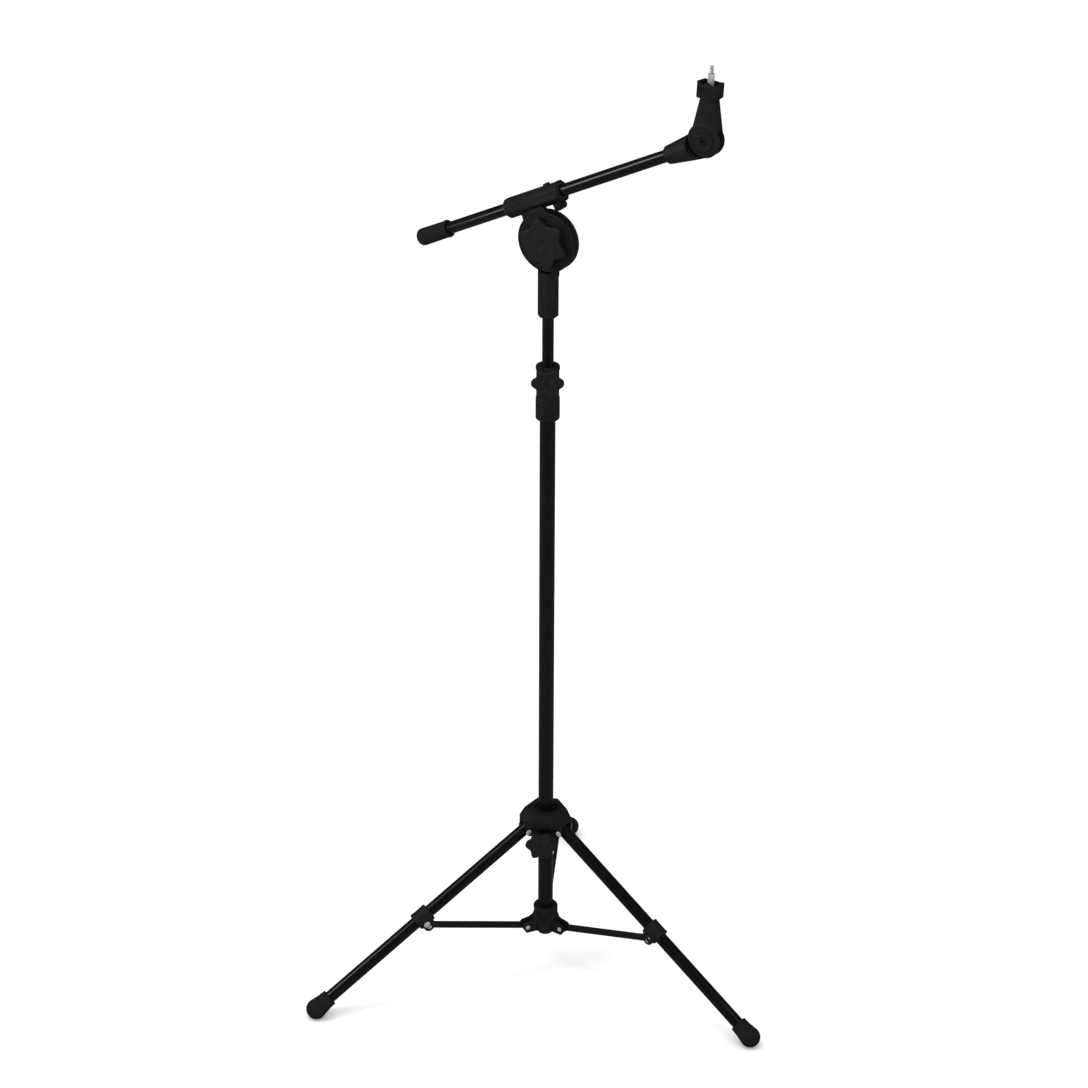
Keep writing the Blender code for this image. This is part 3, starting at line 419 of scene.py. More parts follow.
def combine(base, tool, operation):
    """Run one exact Boolean, nudging the tool if the result isn't a sound solid."""
    before, extra = measure(base.data)[0], measure(tool.data)[0]
    joined = operation == "UNION"
    least = max(before, extra) if joined else before - extra
    most = before + extra if joined else before
    slack = VOLUME_SLACK * before
    chosen, fewest = None, None
    for attempt in range(NUDGES):
        tool.location = [NUDGE * attempt * share for share in NUDGE_SHARES]
        modifier = base.modifiers.new("boolean", "BOOLEAN")
        modifier.operation = operation
        modifier.solver = "EXACT"
        modifier.object = tool
        evaluated = base.evaluated_get(bpy.context.evaluated_depsgraph_get())
        mesh = bpy.data.meshes.new_from_object(evaluated)
        base.modifiers.clear()
        if measure(mesh)[1]:
            mend(mesh)
        volume, gaps = measure(mesh)
        faulty = gaps + (0 if least - slack <= volume <= most + slack else UNSOUND)
        if fewest is None or faulty < fewest:
            chosen, fewest = mesh, faulty
        if faulty == 0:
            break
    base.data = chosen


def carve(base, joins=(), cuts=(), edge=0.0):
    """Join and cut tools near the origin in millimetres, round the edges, drop the tools."""
    home = base.matrix_basis.copy()
    for obj in (base, *joins, *cuts):
        obj.data.transform(Matrix.Scale(BENCH, 4) @ home.inverted() @ obj.matrix_basis)
        obj.matrix_basis = Matrix.Identity(4)
    for tools, operation in ((joins, "UNION"), (cuts, "DIFFERENCE")):
        for tool in tools:
            combine(base, tool, operation)
            bpy.data.objects.remove(tool)
    if edge:
        sound = base.data
        gaps = measure(sound)[1]
        bevel = base.modifiers.new("edge", "BEVEL")
        bevel.width = edge * BENCH
        bevel.segments = 2
        bevel.limit_method = "ANGLE"
        bevel.angle_limit = BEVEL_ANGLE
        evaluated = base.evaluated_get(bpy.context.evaluated_depsgraph_get())
        mesh = bpy.data.meshes.new_from_object(evaluated)
        base.modifiers.clear()
        base.data = mesh if measure(mesh)[1] <= gaps else sound
    base.data.transform(Matrix.Scale(1 / BENCH, 4))
    base.matrix_basis = home
    shade(base)


# Finishes

def finish_material(name, dark, light, rough, mottle, grain, depth, metal=0.0, coat=0.0,
                    specular=0.5):
    """Procedural finish: mottled colour, uneven roughness and a fine surface grain."""
    material = bpy.data.materials.new(name)
    material.use_nodes = True
    nodes, links = material.node_tree.nodes, material.node_tree.links
    shader = nodes["Principled BSDF"]
    place_node = nodes.new("ShaderNodeTexCoord")

    def noise(scale, detail):
        node = nodes.new("ShaderNodeTexNoise")
        node.inputs["Scale"].default_value = scale
        node.inputs["Detail"].default_value = detail
        links.new(place_node.outputs["Object"], node.inputs["Vector"])
        return node.outputs["Fac"]

    def ramp(source, low, high, start=0.30, end=0.70):
        node = nodes.new("ShaderNodeMapRange")
        node.inputs["From Min"].default_value = start
        node.inputs["From Max"].default_value = end
        node.inputs["To Min"].default_value = low
        node.inputs["To Max"].default_value = high
        links.new(source, node.inputs["Value"])
        return node.outputs["Result"]

    mix = nodes.new("ShaderNodeMix")
    mix.data_type = "RGBA"
    mix.inputs["A"].default_value = (*dark, 1)
    mix.inputs["B"].default_value = (*light, 1)
    links.new(ramp(noise(mottle, 4), 0, 1), mix.inputs["Factor"])
    links.new(mix.outputs["Result"], shader.inputs["Base Color"])
    links.new(ramp(noise(mottle * 4, 6), *rough), shader.inputs["Roughness"])
    bump = nodes.new("ShaderNodeBump")
    bump.inputs["Strength"].default_value = 1.0
    bump.inputs["Distance"].default_value = depth
    links.new(noise(grain, 2), bump.inputs["Height"])
    links.new(bump.outputs["Normal"], shader.inputs["Normal"])
    shader.inputs["Metallic"].default_value = metal
    shader.inputs["Specular IOR Level"].default_value = specular
    shader.inputs["Coat Weight"].default_value = coat
    shader.inputs["Coat Roughness"].default_value = 0.12
    return material


LOOKS = {name: finish_material(name, *values, **extra) for name, values, extra in (
    ("gloss_black_paint", ((0.0018, 0.0018, 0.0024), (0.0030, 0.0030, 0.0040),
                           (0.22, 0.29), 40, 420, 0.0000006), {"coat": 0.15, "specular": 0.38}),
    ("satin_black_paint", ((0.0030, 0.0034, 0.0038), (0.0055, 0.0062, 0.0064),
                           (0.34, 0.48), 60, 1400, 0.000005), {"specular": 0.34}),
    ("matte_black_plastic", ((0.0058, 0.0054, 0.0066), (0.0088, 0.0082, 0.0096),
                             (0.46, 0.60), 90, 3200, 0.000012), {"specular": 0.26}),
    ("black_knob_plastic", ((0.0068, 0.0064, 0.0076), (0.0100, 0.0095, 0.0108),
                            (0.48, 0.62), 110, 3600, 0.000014), {"specular": 0.28}),
    ("dark_bearing_plastic", ((0.020, 0.020, 0.022), (0.030, 0.030, 0.033),
                              (0.40, 0.55), 80, 2400, 0.000015), {"specular": 0.45}),
    ("black_rubber", ((0.0050, 0.0050, 0.0052), (0.0082, 0.0080, 0.0079),
                      (0.68, 0.86), 150, 2600, 0.000020), {"specular": 0.22}),
    ("bright_steel", ((0.46, 0.46, 0.47), (0.66, 0.66, 0.67),
                      (0.26, 0.40), 260, 2400, 0.000006), {"metal": 0.55}),
)}


def dress(obj, slot):
    """Give an object one of the finishes."""
    obj.data.materials.clear()
    obj.data.materials.append(LOOKS[slot])


def piece(obj, slot, *nodes):
    """Finish a piece, hide the nodes it stands for and let it ride on their body."""
    settle(obj)
    dress(obj, slot)
    for body, members in frame["record"]["behaviour"]["bodies"].items():
        if nodes[0] in members:
            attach(obj, body)
    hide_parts(*nodes)


# Tubes and turned pieces

def tube_profile(outer, bore, low, high):
    """Profile of a tube with rounded rims."""
    return [(bore, high), (outer, high), (outer, low), (bore, low)]


def build_mast():
    """Mast, its end plug, the upper tube and its glide."""
    piece(lathe("mast", tube_profile(MAST_R, MAST_BORE, MAST_BOTTOM, MAST_TOP)),
          "gloss_black_paint", "mast_tube")
    low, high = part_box("upper_tube")
    piece(lathe("upper_mast", tube_profile(UPPER_R, 0.0070, low.z, high.z)),
          "gloss_black_paint", "upper_tube")
    seat = low.z - GAP
    glide = [(0, seat + 0.0150), (0.0060, seat + 0.0150), (0.0067, seat + 0.0140),
             (0.0067, seat), (0.0095, seat), (0.0095, seat - 0.0020), (0.0091, seat - 0.0024),
             (0.0091, seat - 0.0036), (0.0095, seat - 0.0040), (0.0095, seat - 0.0060),
             (0, seat - 0.0060)]
    piece(lathe("upper_glide", glide), "dark_bearing_plastic", "upper_tube_glide")
    seat = MAST_BOTTOM - GAP
    plug = [(0, seat + 0.0123), (0.0085, seat + 0.0123), (0.0095, seat + 0.0110),
            (0.0095, seat), (MAST_R, seat), (MAST_R, seat - 0.0030), (0.0070, seat - 0.0030),
            (0.0062, seat - 0.0022), (0, seat - 0.0022)]
    piece(lathe("mast_plug", plug, soft=0.0007), "matte_black_plastic", "mast_end_plug")


def hand_knob(name, matrix, lobe, valley, phase, back, face, neck_start, neck_r, hole_r,
              hole_end, axis, direction, edge):
    """Lobed knob in one skin: neck, back, rounded edge, ringed face and centre dimple."""
    points = KNOB_POINTS
    scale = lobe / SMALL_KNOB_LOBE
    rows = [([(0, 0)], hole_end), (ring(hole_r, points), hole_end),
            (ring(hole_r, points), neck_start), (ring(neck_r[0] - 0.0006, points), neck_start),
            (ring(neck_r[0], points), neck_start + 0.0006), (ring(neck_r[1], points), back)]
    rows += rounded_ends(lambda shrink: lobed(lobe, valley, phase, points, shrink),
                         back, face, edge, 4)
    groove = face - 0.00035
    for radius, height in ((0.0140, face), (0.0137, groove), (0.0131, groove), (0.0128, face),
                           (0.0042, face), (0.0038, face - 0.0004), (0.0034, face - 0.0012),
                           (0.0016, face - 0.0017)):
        rows.append((ring(radius * scale, points), height))
    rows.append(([(0, 0)], face - 0.0018))
    rows = [(outline, direction * height) for outline, height in rows]
    return skin(name, rows, matrix, axis)


def build_clamp_knobs():
    """The two hand knobs on the mast, with their screws."""
    for owner, bore in (("hub", MAST_R + GAP), ("clutch", 0.0100)):
        joint = JOINTS[owner + "_knob_turn"]
        azimuth = math.atan2(joint["axis"][1], joint["axis"][0])
        matrix = radial(azimuth, joint["pos_m"][2])
        knob = hand_knob(owner + "_hand_knob", matrix, SMALL_KNOB_LOBE, 0.0172, 0, 0.0340, 0.0460,
                         0.0255, (0.0085, 0.0110), 0.0033, 0.0403, "X", 1, 0.0022)
        piece(knob, "black_knob_plastic", owner + "_knob")
        piece(threaded(owner + "_knob_screw", 0.0030, bore, 0.0400, matrix, 0.0010),
              "bright_steel", owner + "_screw")


def threaded(name, radius, low, high, matrix, pitch):
    """Screw thread along the X axis of a frame, with a chamfered tip at both ends."""
    depth = THREAD_DEPTH * pitch / THREAD_PITCH
    segments = 32
    rows = []
    count = int((high - low) / pitch * THREAD_ROWS)
    for i in range(count + 1):
        along = low + (high - low) * i / count
        outline = []
        taper = min(1.0, (along - low) / 0.0006 + 0.25, (high - along) / 0.0008 + 0.25)
        for k in range(segments):
            turn = ((along / pitch) - k / segments) % 1.0
            dip = depth * (1 - abs(2 * turn - 1)) * 1.15
            r = (radius - min(depth, dip)) * (0.80 + 0.20 * taper)
            outline.append((r * math.cos(FULL * k / segments), r * math.sin(FULL * k / segments)))
        rows.append((outline, along))
    return skin(name, rows, matrix, "X")


def build_clutch():
    """Clutch body with its rims and knob boss, and the bush inside."""
    seat = MAST_TOP + GAP
    lip = CLUTCH_TOP - 0.0040
    mouth = UPPER_R + 0.0005
    waist = CLUTCH_R - 0.0009
    top, low = CLUTCH_TOP, CLUTCH_BOTTOM
    profile = [(mouth, top - 0.0006), (mouth + 0.0008, top), (CLUTCH_R - 0.0010, top),
               (CLUTCH_R, top - 0.0011), (CLUTCH_R, top - 0.0052), (waist, top - 0.0066),
               (waist, low + 0.0326), (CLUTCH_R, low + 0.0312), (CLUTCH_R, low + 0.0300),
               (CLUTCH_R - 0.0004, low + 0.0296), (CLUTCH_R - 0.0004, low + 0.0286),
               (CLUTCH_R, low + 0.0282), (CLUTCH_R, low + 0.0010),
               (CLUTCH_R - 0.0007, low), (MAST_R + GAP, low), (MAST_R + GAP, seat),
               (0.0100, seat), (0.0100, lip), (mouth, lip)]
    body = lathe("clutch", profile, soft=0.0005)
    joint = JOINTS["clutch_knob_turn"]
    matrix = radial(math.atan2(joint["axis"][1], joint["axis"][0]), joint["pos_m"][2])
    boss = lathe("boss", [(0, 0.0130), (0.0097, 0.0130), (0.0092, 0.0172), (0.0085, 0.0195),
                          (0.0085, 0.0250), (0, 0.0250)], matrix, "X", 0.0006)
    carve(body, [boss], [rod(SCREW_HOLE, 0.0085, 0.0280, matrix, "X")])
    piece(body, "matte_black_plastic", "clutch_body")
    bush = lathe("clutch_sleeve", tube_profile(0.0097, UPPER_R + GAP, lip - GAP, seat + GAP))
    piece(bush, "dark_bearing_plastic", "clutch_bush")


# Hub and collar

def hub_plan(reach, half, corner):
    """Blunt-cornered triangle over the three legs, with rounded corners."""
    points = []
    for azimuth in LEG_AZIMUTHS:
        for side in (-half, half):
            points.append((reach * math.cos(azimuth) - side * math.sin(azimuth),
                           reach * math.sin(azimuth) + side * math.cos(azimuth)))
    return soften(points, corner, True, 6)


def rivet_head(radius, seat, rise):
    """Profile of a domed rivet head beyond a seat, with a fine rim."""
    return [(0, seat + rise), (0.45 * radius, seat + 0.93 * rise),
            (0.80 * radius, seat + 0.60 * rise), (radius, seat + 0.22 * rise), (radius, seat)]


def rivet(name, shank, seat, head, rise, matrix, spot, slot, node, far=None):
    """Domed rivet along the frame's Y axis; far is the plain end, or None for two heads."""
    dome = rivet_head(head, seat, rise)
    if far is None:
        profile = dome + [(shank, seat), (shank, -seat)]
        profile += [(r, -h) for r, h in reversed(dome)]
    else:
        profile = dome + [(shank, seat), (shank, far), (0, far)]
    piece(lathe(name, profile, at(matrix, *spot), "Y", 0.0003, SMALL_ROUND), slot, node)


def build_hub():
    """Sliding hub: canopy, lugs with arched openings, sleeve, boss and the leg pins."""
    levels = ((0.2475, 0.0372, 0.0115), (0.2535, 0.0375, 0.0115), (0.2580, 0.0376, 0.0115),
              (0.2589, 0.0372, 0.0117), (0.2596, 0.0362, 0.0120), (0.2628, 0.0327, 0.0132),
              (0.2660, 0.0291, 0.0146), (0.2669, 0.0281, 0.0149), (0.2674, 0.0270, 0.0146),
              (0.2675, 0.0255, 0.0140))
    hub = skin("hub", [(hub_plan(reach, half, 0.0016), height)
                       for height, reach, half in levels])
    joint = JOINTS["hub_knob_turn"]
    knob_frame = radial(math.atan2(joint["axis"][1], joint["axis"][0]), joint["pos_m"][2])
    joins = [lathe("sleeve", [(0, 0.2495), (0.0145, 0.2495), (0.0145, 0.2072),
                              (0.0139, 0.2050), (0, 0.2050)], soft=0.0006),
             lathe("boss", [(0, 0.0120), (0.0098, 0.0120), (0.0092, 0.0160),
                            (0.0085, 0.0190), (0.0085, 0.0250), (0, 0.0250)],
                   knob_frame, "X", 0.0006)]
    cuts = [rod(MAST_R + GAP, 0.2000, 0.2700, segments=ROUND),
            rod(SCREW_HOLE, 0.0100, 0.0280, knob_frame, "X"),
            rod(0.0142, 0.2667, 0.2690, segments=ROUND),
            lathe("groove", [(0.0137, 0.2690), (0.0170, 0.2690), (0.0165, 0.2636),
                             (0.0137, 0.2636)], soft=0.0)]
    for azimuth in LEG_AZIMUTHS:
        lug = radial(azimuth)
        side = arc((0.0291, HUB_PIVOT_Z), 0.0075, -math.pi / 2, 0, 8)
        side += [(0.0366, 0.2495), (0.0130, 0.2495), (0.0130, 0.2325)]
        joins.append(slab("lug", side, -0.0135, 0.0135, lug, "Y", 0.0006))
        half = 0.0096
        spring, rise = 0.2462, 0.0066
        arch = [(-half, 0.2000), (half, 0.2000), (half, spring)]
        arch += [(half * math.cos(math.pi * i / 14), spring + rise * math.sin(math.pi * i / 14))
                 for i in range(1, 14)]
        arch += [(-half, spring)]
        cuts.append(skin("tool", [(arch, 0.0200), (arch, 0.0600)], lug, "X"))
        cuts.append(rod(LEG_PIN_HOLE, -0.0160, 0.0160, at(lug, HUB_PIVOT_R, 0, HUB_PIVOT_Z), "Y",
                        HOLE_ROUND))
    carve(hub, joins, cuts, 0.00035)
    piece(hub, "matte_black_plastic", "hub_body")
    for number, azimuth in enumerate(LEG_AZIMUTHS, 1):
        rivet(f"leg_pivot_rivet_{number}", 0.0025, 0.0138, 0.0044, 0.0019, radial(azimuth),
              (HUB_PIVOT_R, 0, HUB_PIVOT_Z), "bright_steel", f"leg_pivot_pin_{number}")


def build_collar():
    """Fixed collar: barrel, side ribs, flared skirt and hooked forks, with its rivets."""
    bore = MAST_R + GAP
    profile = [(0, 0.1010), (0.0168, 0.1010), (0.0178, 0.0996), (0.0178, 0.0972),
               (0.0172, 0.0962), (0.0172, 0.0890), (0.0180, 0.0860), (0.0204, 0.0800),
               (0.0205, 0.0660), (0.0188, 0.0620), (0, 0.0620)]
    collar = lathe("collar", profile, soft=0.0010)
    joins, cuts = [], []
    for azimuth in LEG_AZIMUTHS:
        fork = radial(azimuth)
        pivot = (COLLAR_PIVOT_R, COLLAR_PIVOT_Z)
        ear = arc(pivot, 0.0068, -math.pi / 6, math.pi / 2, 12)
        ear += [(0.0240, 0.0800), (0.0150, 0.0850), (0.0150, 0.0624), (0.0340, 0.0624)]
        joins.append(slab("ear", anticlockwise(ear), -0.0085, 0.0085, fork, "Y", 0.0006))
        rib = radial(azimuth + math.pi / 3)
        joins.append(slab("rib", [(0.0120, -0.0035), (0.0184, -0.0035), (0.0184, 0.0035),
                                  (0.0120, 0.0035)], 0.0800, 0.0985, rib, "Z", 0.0007))
        cuts.append(box((0.0190, -STRUT_SLOT_HALF, 0.0600), (0.0450, STRUT_SLOT_HALF, 0.0920),
                        fork))
        cuts.append(rod(STRUT_PIN_HOLE, -0.0110, 0.0110,
                        at(fork, COLLAR_PIVOT_R, 0, COLLAR_PIVOT_Z), "Y", HOLE_ROUND))
    cuts.append(rod(bore, 0.0600, 0.1030, segments=ROUND))
    carve(collar, joins, cuts, 0.0003)
    piece(collar, "matte_black_plastic", "strut_collar")
    for number, azimuth in enumerate(LEG_AZIMUTHS, 1):
        for label, turn in (("a", 0), ("b", math.pi)):
            fork = at(radial(azimuth), COLLAR_PIVOT_R, 0, COLLAR_PIVOT_Z)
            rivet(f"collar_pin_{number}{label}", 0.0018, 0.0088, 0.0034, 0.0015,
                  fork @ Matrix.Rotation(turn, 4, "Z"), (0, 0, 0), "bright_steel",
                  f"collar_rivet_{number}{label}", STRUT_SLOT_HALF + GAP)


# Legs

def build_leg(number):
    """One leg with its plug, foot, clip and strut."""
    leg = leg_frame(number)
    pin_hole = rod(LEG_PIN_HOLE, -0.0110, 0.0110, leg, "Y", HOLE_ROUND)
    tube = lathe(f"leg_{number}", tube_profile(LEG_R, LEG_BORE, LEG_BACK, LEG_END), leg, "X")
    carve(tube, (), [pin_hole])
    piece(tube, "gloss_black_paint", f"leg_tube_{number}")
    stem, seat = LEG_BORE - GAP, LEG_BACK - GAP
    plug = lathe(f"leg_cap_{number}",
                 [(0, 0.0120), (stem, 0.0120), (stem, seat), (LEG_R, seat),
                  (LEG_R * 0.93, seat - 0.0022), (LEG_R * 0.66, seat - 0.0040),
                  (0, seat - 0.0046)], leg, "X", 0.0012)
    carve(plug, (), [rod(LEG_PIN_HOLE, -0.0110, 0.0110, leg, "Y", HOLE_ROUND)])
    piece(plug, "matte_black_plastic", f"leg_top_plug_{number}")
    build_foot(number, leg)
    build_clip(number, leg)
    build_strut(number)


def build_foot(number, leg):
    """Rubber foot: bell-shaped boot with a mouth bead and a flat sole."""
    mouth = LEG_LENGTH - 0.0260
    bore = LEG_R + GAP
    ball = arc((0, LEG_LENGTH), 0.0150, math.pi / 2, -math.radians(15), 22)
    ball[0] = (0, LEG_LENGTH + 0.0150)
    profile = ball + [(0.0138, LEG_LENGTH - 0.0090), (0.0129, LEG_LENGTH - 0.0150),
                      (0.0125, mouth + 0.0040), (0.0123, mouth + 0.0034),
                      (0.0125, mouth + 0.0026), (0.0125, mouth + 0.0008), (0.0118, mouth),
                      (bore, mouth), (bore, LEG_END + GAP), (0, LEG_END + GAP)]
    foot = lathe(f"rubber_foot_{number}", profile, leg, "X", 0.0008)
    settle(foot)
    shape = bmesh.new()
    shape.from_mesh(foot.data)
    cut = bmesh.ops.bisect_plane(shape, geom=list(shape.verts) + list(shape.edges)
                                 + list(shape.faces), plane_co=(0, 0, 0), plane_no=(0, 0, -1),
                                 clear_outer=True)
    rim = [edge for edge in cut["geom_cut"] if isinstance(edge, bmesh.types.BMEdge)]
    bmesh.ops.contextual_create(shape, geom=rim)
    bmesh.ops.recalc_face_normals(shape, faces=shape.faces)
    shape.to_mesh(foot.data)
    shape.free()
    shade(foot)
    piece(foot, "black_rubber", f"foot_{number}")


def build_clip(number, leg):
    """Clip round the leg: ribbed sleeve, flat cheeks, forked ears and its two rivets."""
    half, middle = 0.0130, CLIP_ALONG - 0.0020
    clip = lathe(f"clip_{number}",
                 [(0, middle + half), (0.0125, middle + half), (0.0134, middle + half - 0.0010),
                  (0.0134, middle + half - 0.0034), (0.0131, middle + half - 0.0040),
                  (0.0131, middle - half + 0.0040), (0.0134, middle - half + 0.0034),
                  (0.0134, middle - half + 0.0010), (0.0125, middle - half), (0, middle - half)],
                 leg, "X", 0.0004)
    cheek = [(middle - half + 0.0020, -0.0005), (middle - 0.0090, -0.0118),
             (middle + 0.0060, -0.0128), (middle + half - 0.0020, -0.0060),
             (middle + half - 0.0020, -0.0005)]
    ear = arc((CLIP_ALONG, -CLIP_DROP), 0.0080, -math.pi, 0, 14)
    ear += [(CLIP_ALONG + 0.0080, -0.0080), (CLIP_ALONG - 0.0100, -0.0080)]
    joins = [slab("cheek", anticlockwise(soften(cheek, 0.0020)), -0.0132, 0.0132, leg, "Y",
                  0.0006),
             slab("ear", anticlockwise(ear), -0.0070, 0.0070, leg, "Y", 0.0005)]
    fixing = at(leg, CLIP_ALONG, 0, -0.0058)
    spot = at(leg, CLIP_ALONG, 0, -CLIP_DROP)
    cuts = [rod(LEG_R + GAP, middle - half - OVERLAP, middle + half + OVERLAP, leg, "X", ROUND),
            box((CLIP_ALONG - 0.0200, -STRUT_SLOT_HALF, -0.0300),
                (CLIP_ALONG + 0.0200, STRUT_SLOT_HALF, -0.0107), leg),
            rod(0.0018, -0.0160, 0.0160, fixing, "Y", HOLE_ROUND),
            rod(STRUT_PIN_HOLE, -0.0100, 0.0100, spot, "Y", HOLE_ROUND)]
    carve(clip, joins, cuts, 0.0003)
    piece(clip, "matte_black_plastic", f"leg_clip_{number}")
    rivet(f"clip_pin_{number}", 0.0015, 0.0135, 0.0047, 0.0022, leg,
          (CLIP_ALONG, 0, -0.0058), "bright_steel", f"clip_rivet_{number}", -0.0129)
    rivet(f"strut_pin_{number}", 0.0018, 0.0073, 0.0034, 0.0015, leg,
          (CLIP_ALONG, 0, -CLIP_DROP), "bright_steel", f"strut_rivet_{number}")


def build_strut(number):
    """Pressed strut with rounded eyes and a shallow channel along its middle."""
    matrix, length = strut_frame(number)
    eye, half = 0.0052, 0.0048
    neck = math.acos(half / eye)
    outline = arc((0, 0), eye, -math.pi / 2 + neck, math.pi / 2 - neck, 14)
    outline += arc((-length, 0), eye, math.pi / 2 + neck, 1.5 * math.pi - neck, 14)
    strut = slab(f"strut_bar_{number}", outline, -0.0025, 0.0025, matrix, "Y", 0.0008)
    groove = soften([(-length + 0.0120, -0.0019), (-0.0120, -0.0019), (-0.0120, 0.0019),
                     (-length + 0.0120, 0.0019)], 0.0018)
    cuts = [slab("tool", groove, 0.0021, 0.0040, matrix, "Y", 0.0002),
            slab("tool", groove, -0.0040, -0.0021, matrix, "Y", 0.0002),
            rod(STRUT_PIN_HOLE, -0.0050, 0.0050, matrix, "Y", HOLE_ROUND),
            rod(STRUT_PIN_HOLE, -0.0050, 0.0050, at(matrix, -length, 0, 0), "Y", HOLE_ROUND)]
    carve(strut, (), cuts)
    piece(strut, "satin_black_paint", f"strut_{number}")


# Tilt joint

def friction_disc(matrix, side):
    """Friction disc on one side of the joint: toothed side flat, outer side with rim lines."""
    rim, face = DISC_R, DISC_FACE
    outer = [(0, face), (0.0285, face), (0.0288, face - 0.0004), (0.0294, face - 0.0004),
             (0.0297, face), (rim - 0.0044, face), (rim - 0.0041, face - 0.0008),
             (rim - 0.0033, face - 0.0008), (rim - 0.0030, face), (rim - 0.0012, face),
             (rim, face - 0.0012), (rim, DISC_INNER), (0, DISC_INNER)]
    return lathe("disc", [(radius, side * height) for radius, height in outer], matrix, "Y",
                 0.0003, LARGE_ROUND)


def octagon(apothem):
    """Eight-sided outline with softened corners, flats square to the axes."""
    return soften(polygon(8, apothem, math.pi / 8), 0.0012, True, 3)


def build_tilt_joint():
    """Socket with its disc, friction washer, bolt and the large knob."""
    matrix = DISC
    low, top = 1.0450, 1.1140
    socket = slab("socket", octagon(0.0135), low, top, MAST, "Z", 0.0016, 4)
    neck = [(-0.0125, 1.1020), (0.0125, 1.1020), (0.0150, 1.1537), (-0.0150, 1.1537)]
    joins = [slab("neck", anticlockwise(neck), DISC_INNER, DISC_FACE, MAST, "Y", 0.0008),
             friction_disc(matrix, 1)]
    cuts = [rod(DISC_R + GAP, -0.0200, 0.0, matrix, "Y", LARGE_ROUND),
            rod(TILT_HOLE, -0.0110, 0.0110, matrix, "Y"),
            rod(UPPER_R + GAP, low - OVERLAP, 1.0953, segments=ROUND)]
    carve(socket, joins, cuts, 0.0003)
    piece(socket, "matte_black_plastic", "boom_socket")
    washer = lathe("washer", [(0.0043, 0.0005), (0.0300, 0.0005), (0.0300, -0.0005),
                              (0.0043, -0.0005)], matrix, "Y", 0.0001)
    piece(washer, "dark_bearing_plastic", "friction_washer")
    knob = hand_knob("tilt_hand_knob", matrix, 0.0356, 0.0274, math.radians(45), 0.0105, 0.0195,
                     DISC_FACE + GAP, (0.0140, 0.0165), 0.0043, 0.0178, "Y", -1, 0.0026)
    piece(knob, "black_knob_plastic", "tilt_knob")
    seat = DISC_FACE + GAP
    bolt = lathe("tilt_screw", [(0, seat + 0.0020), (0.0040, seat + 0.0020), (0.0040, -0.0167),
                                (0.0032, -0.0175), (0, -0.0175)], matrix, "Y", 0.0002)
    carve(bolt, [slab("head", polygon(6, 0.0065, math.pi / 6), seat, seat + 0.0050, matrix, "Y",
                      0.0004)])
    piece(bolt, "bright_steel", "tilt_bolt")


def build_clamp():
    """Boom clamp: disc, neck, ringed sleeve with ears, liner, screw and nut."""
    sleeve = slab("clamp_body", octagon(CLAMP_R - 0.0006), CLAMP_BACK, CLAMP_FRONT - 0.0005,
                  TUBE, "X", 0.0006)
    neck = [(-0.0210, 0.0300), (0.0210, 0.0300), (0.0178, 0.0520), (-0.0178, 0.0520)]
    ears = [(0.0335, BOOM_OFFSET - 0.0235), (0.0465, BOOM_OFFSET - 0.0235),
            (0.0465, BOOM_OFFSET), (0.0335, BOOM_OFFSET)]
    lug = [(0.0285, BOOM_OFFSET), (0.0355, BOOM_OFFSET), (0.0355, BOOM_OFFSET + 0.0164),
           (0.0285, BOOM_OFFSET + 0.0164)]
    joins = [friction_disc(BOOM, -1),
             slab("neck", neck, -DISC_FACE, -DISC_INNER, BOOM, "Y", 0.0008),
             slab("ears", soften(ears, [0.0040, 0.0040, 0.0005, 0.0005]), -0.0070, 0.0070,
                  BOOM, "Y", 0.0008),
             slab("lug", soften(lug, 0.0012), -0.0040, 0.0040, BOOM, "Y", 0.0006),
             slab("rim", octagon(CLAMP_R), CLAMP_FRONT - 0.0065, CLAMP_FRONT, TUBE, "X",
                  0.0005)]
    screw_spot = at(BOOM, 0.0400, 0, BOOM_OFFSET - 0.0182)
    cuts = [rod(0.0112, CLAMP_BACK - OVERLAP, CLAMP_FRONT + OVERLAP, TUBE, "X", ROUND),
            box((0.0240, -0.0008, BOOM_OFFSET - 0.0255),
                (CLAMP_FRONT + OVERLAP, 0.0008, BOOM_OFFSET - 0.0080), BOOM),
            rod(TILT_HOLE, -0.0110, 0.0, BOOM, "Y"),
            rod(0.0023, -0.0090, 0.0090, screw_spot, "Y", HOLE_ROUND)]
    carve(sleeve, joins, cuts, 0.0003)
    piece(sleeve, "matte_black_plastic", "boom_clamp")
    shoulder = CLAMP_BACK - GAP
    liner = [(BOOM_R + GAP, CLAMP_FRONT - 0.0005), (0.0109, CLAMP_FRONT - 0.0005),
             (0.0109, shoulder), (0.0128, shoulder), (0.0128, shoulder - 0.0015),
             (BOOM_R + GAP, shoulder - 0.0015)]
    piece(lathe("clamp_sleeve", liner, TUBE, "X", 0.0003), "dark_bearing_plastic",
          "clamp_liner")
    seat = 0.0073
    screw = lathe("clamp_bolt", [(0, seat + 0.0052), (0.0020, seat + 0.0052), (0.0020, -seat),
                                 (0.0048, -seat), (0.0048, -seat - 0.0016),
                                 (0.0036, -seat - 0.0030), (0, -seat - 0.0032)],
                  screw_spot, "Y", 0.0005, SMALL_ROUND)
    for turn in (0, math.pi / 2):
        blade = screw_spot @ Matrix.Rotation(turn, 4, "Y")
        carve(screw, (), [box((-0.0026, -0.0110, -0.0005), (0.0026, -seat - 0.0018, 0.0005),
                              blade)])
    piece(screw, "satin_black_paint", "clamp_screw")
    hex_nut("clamp_hex_nut", "clamp_nut", 0.0080, 0.0023, seat, seat + 0.0040, screw_spot, "Y")


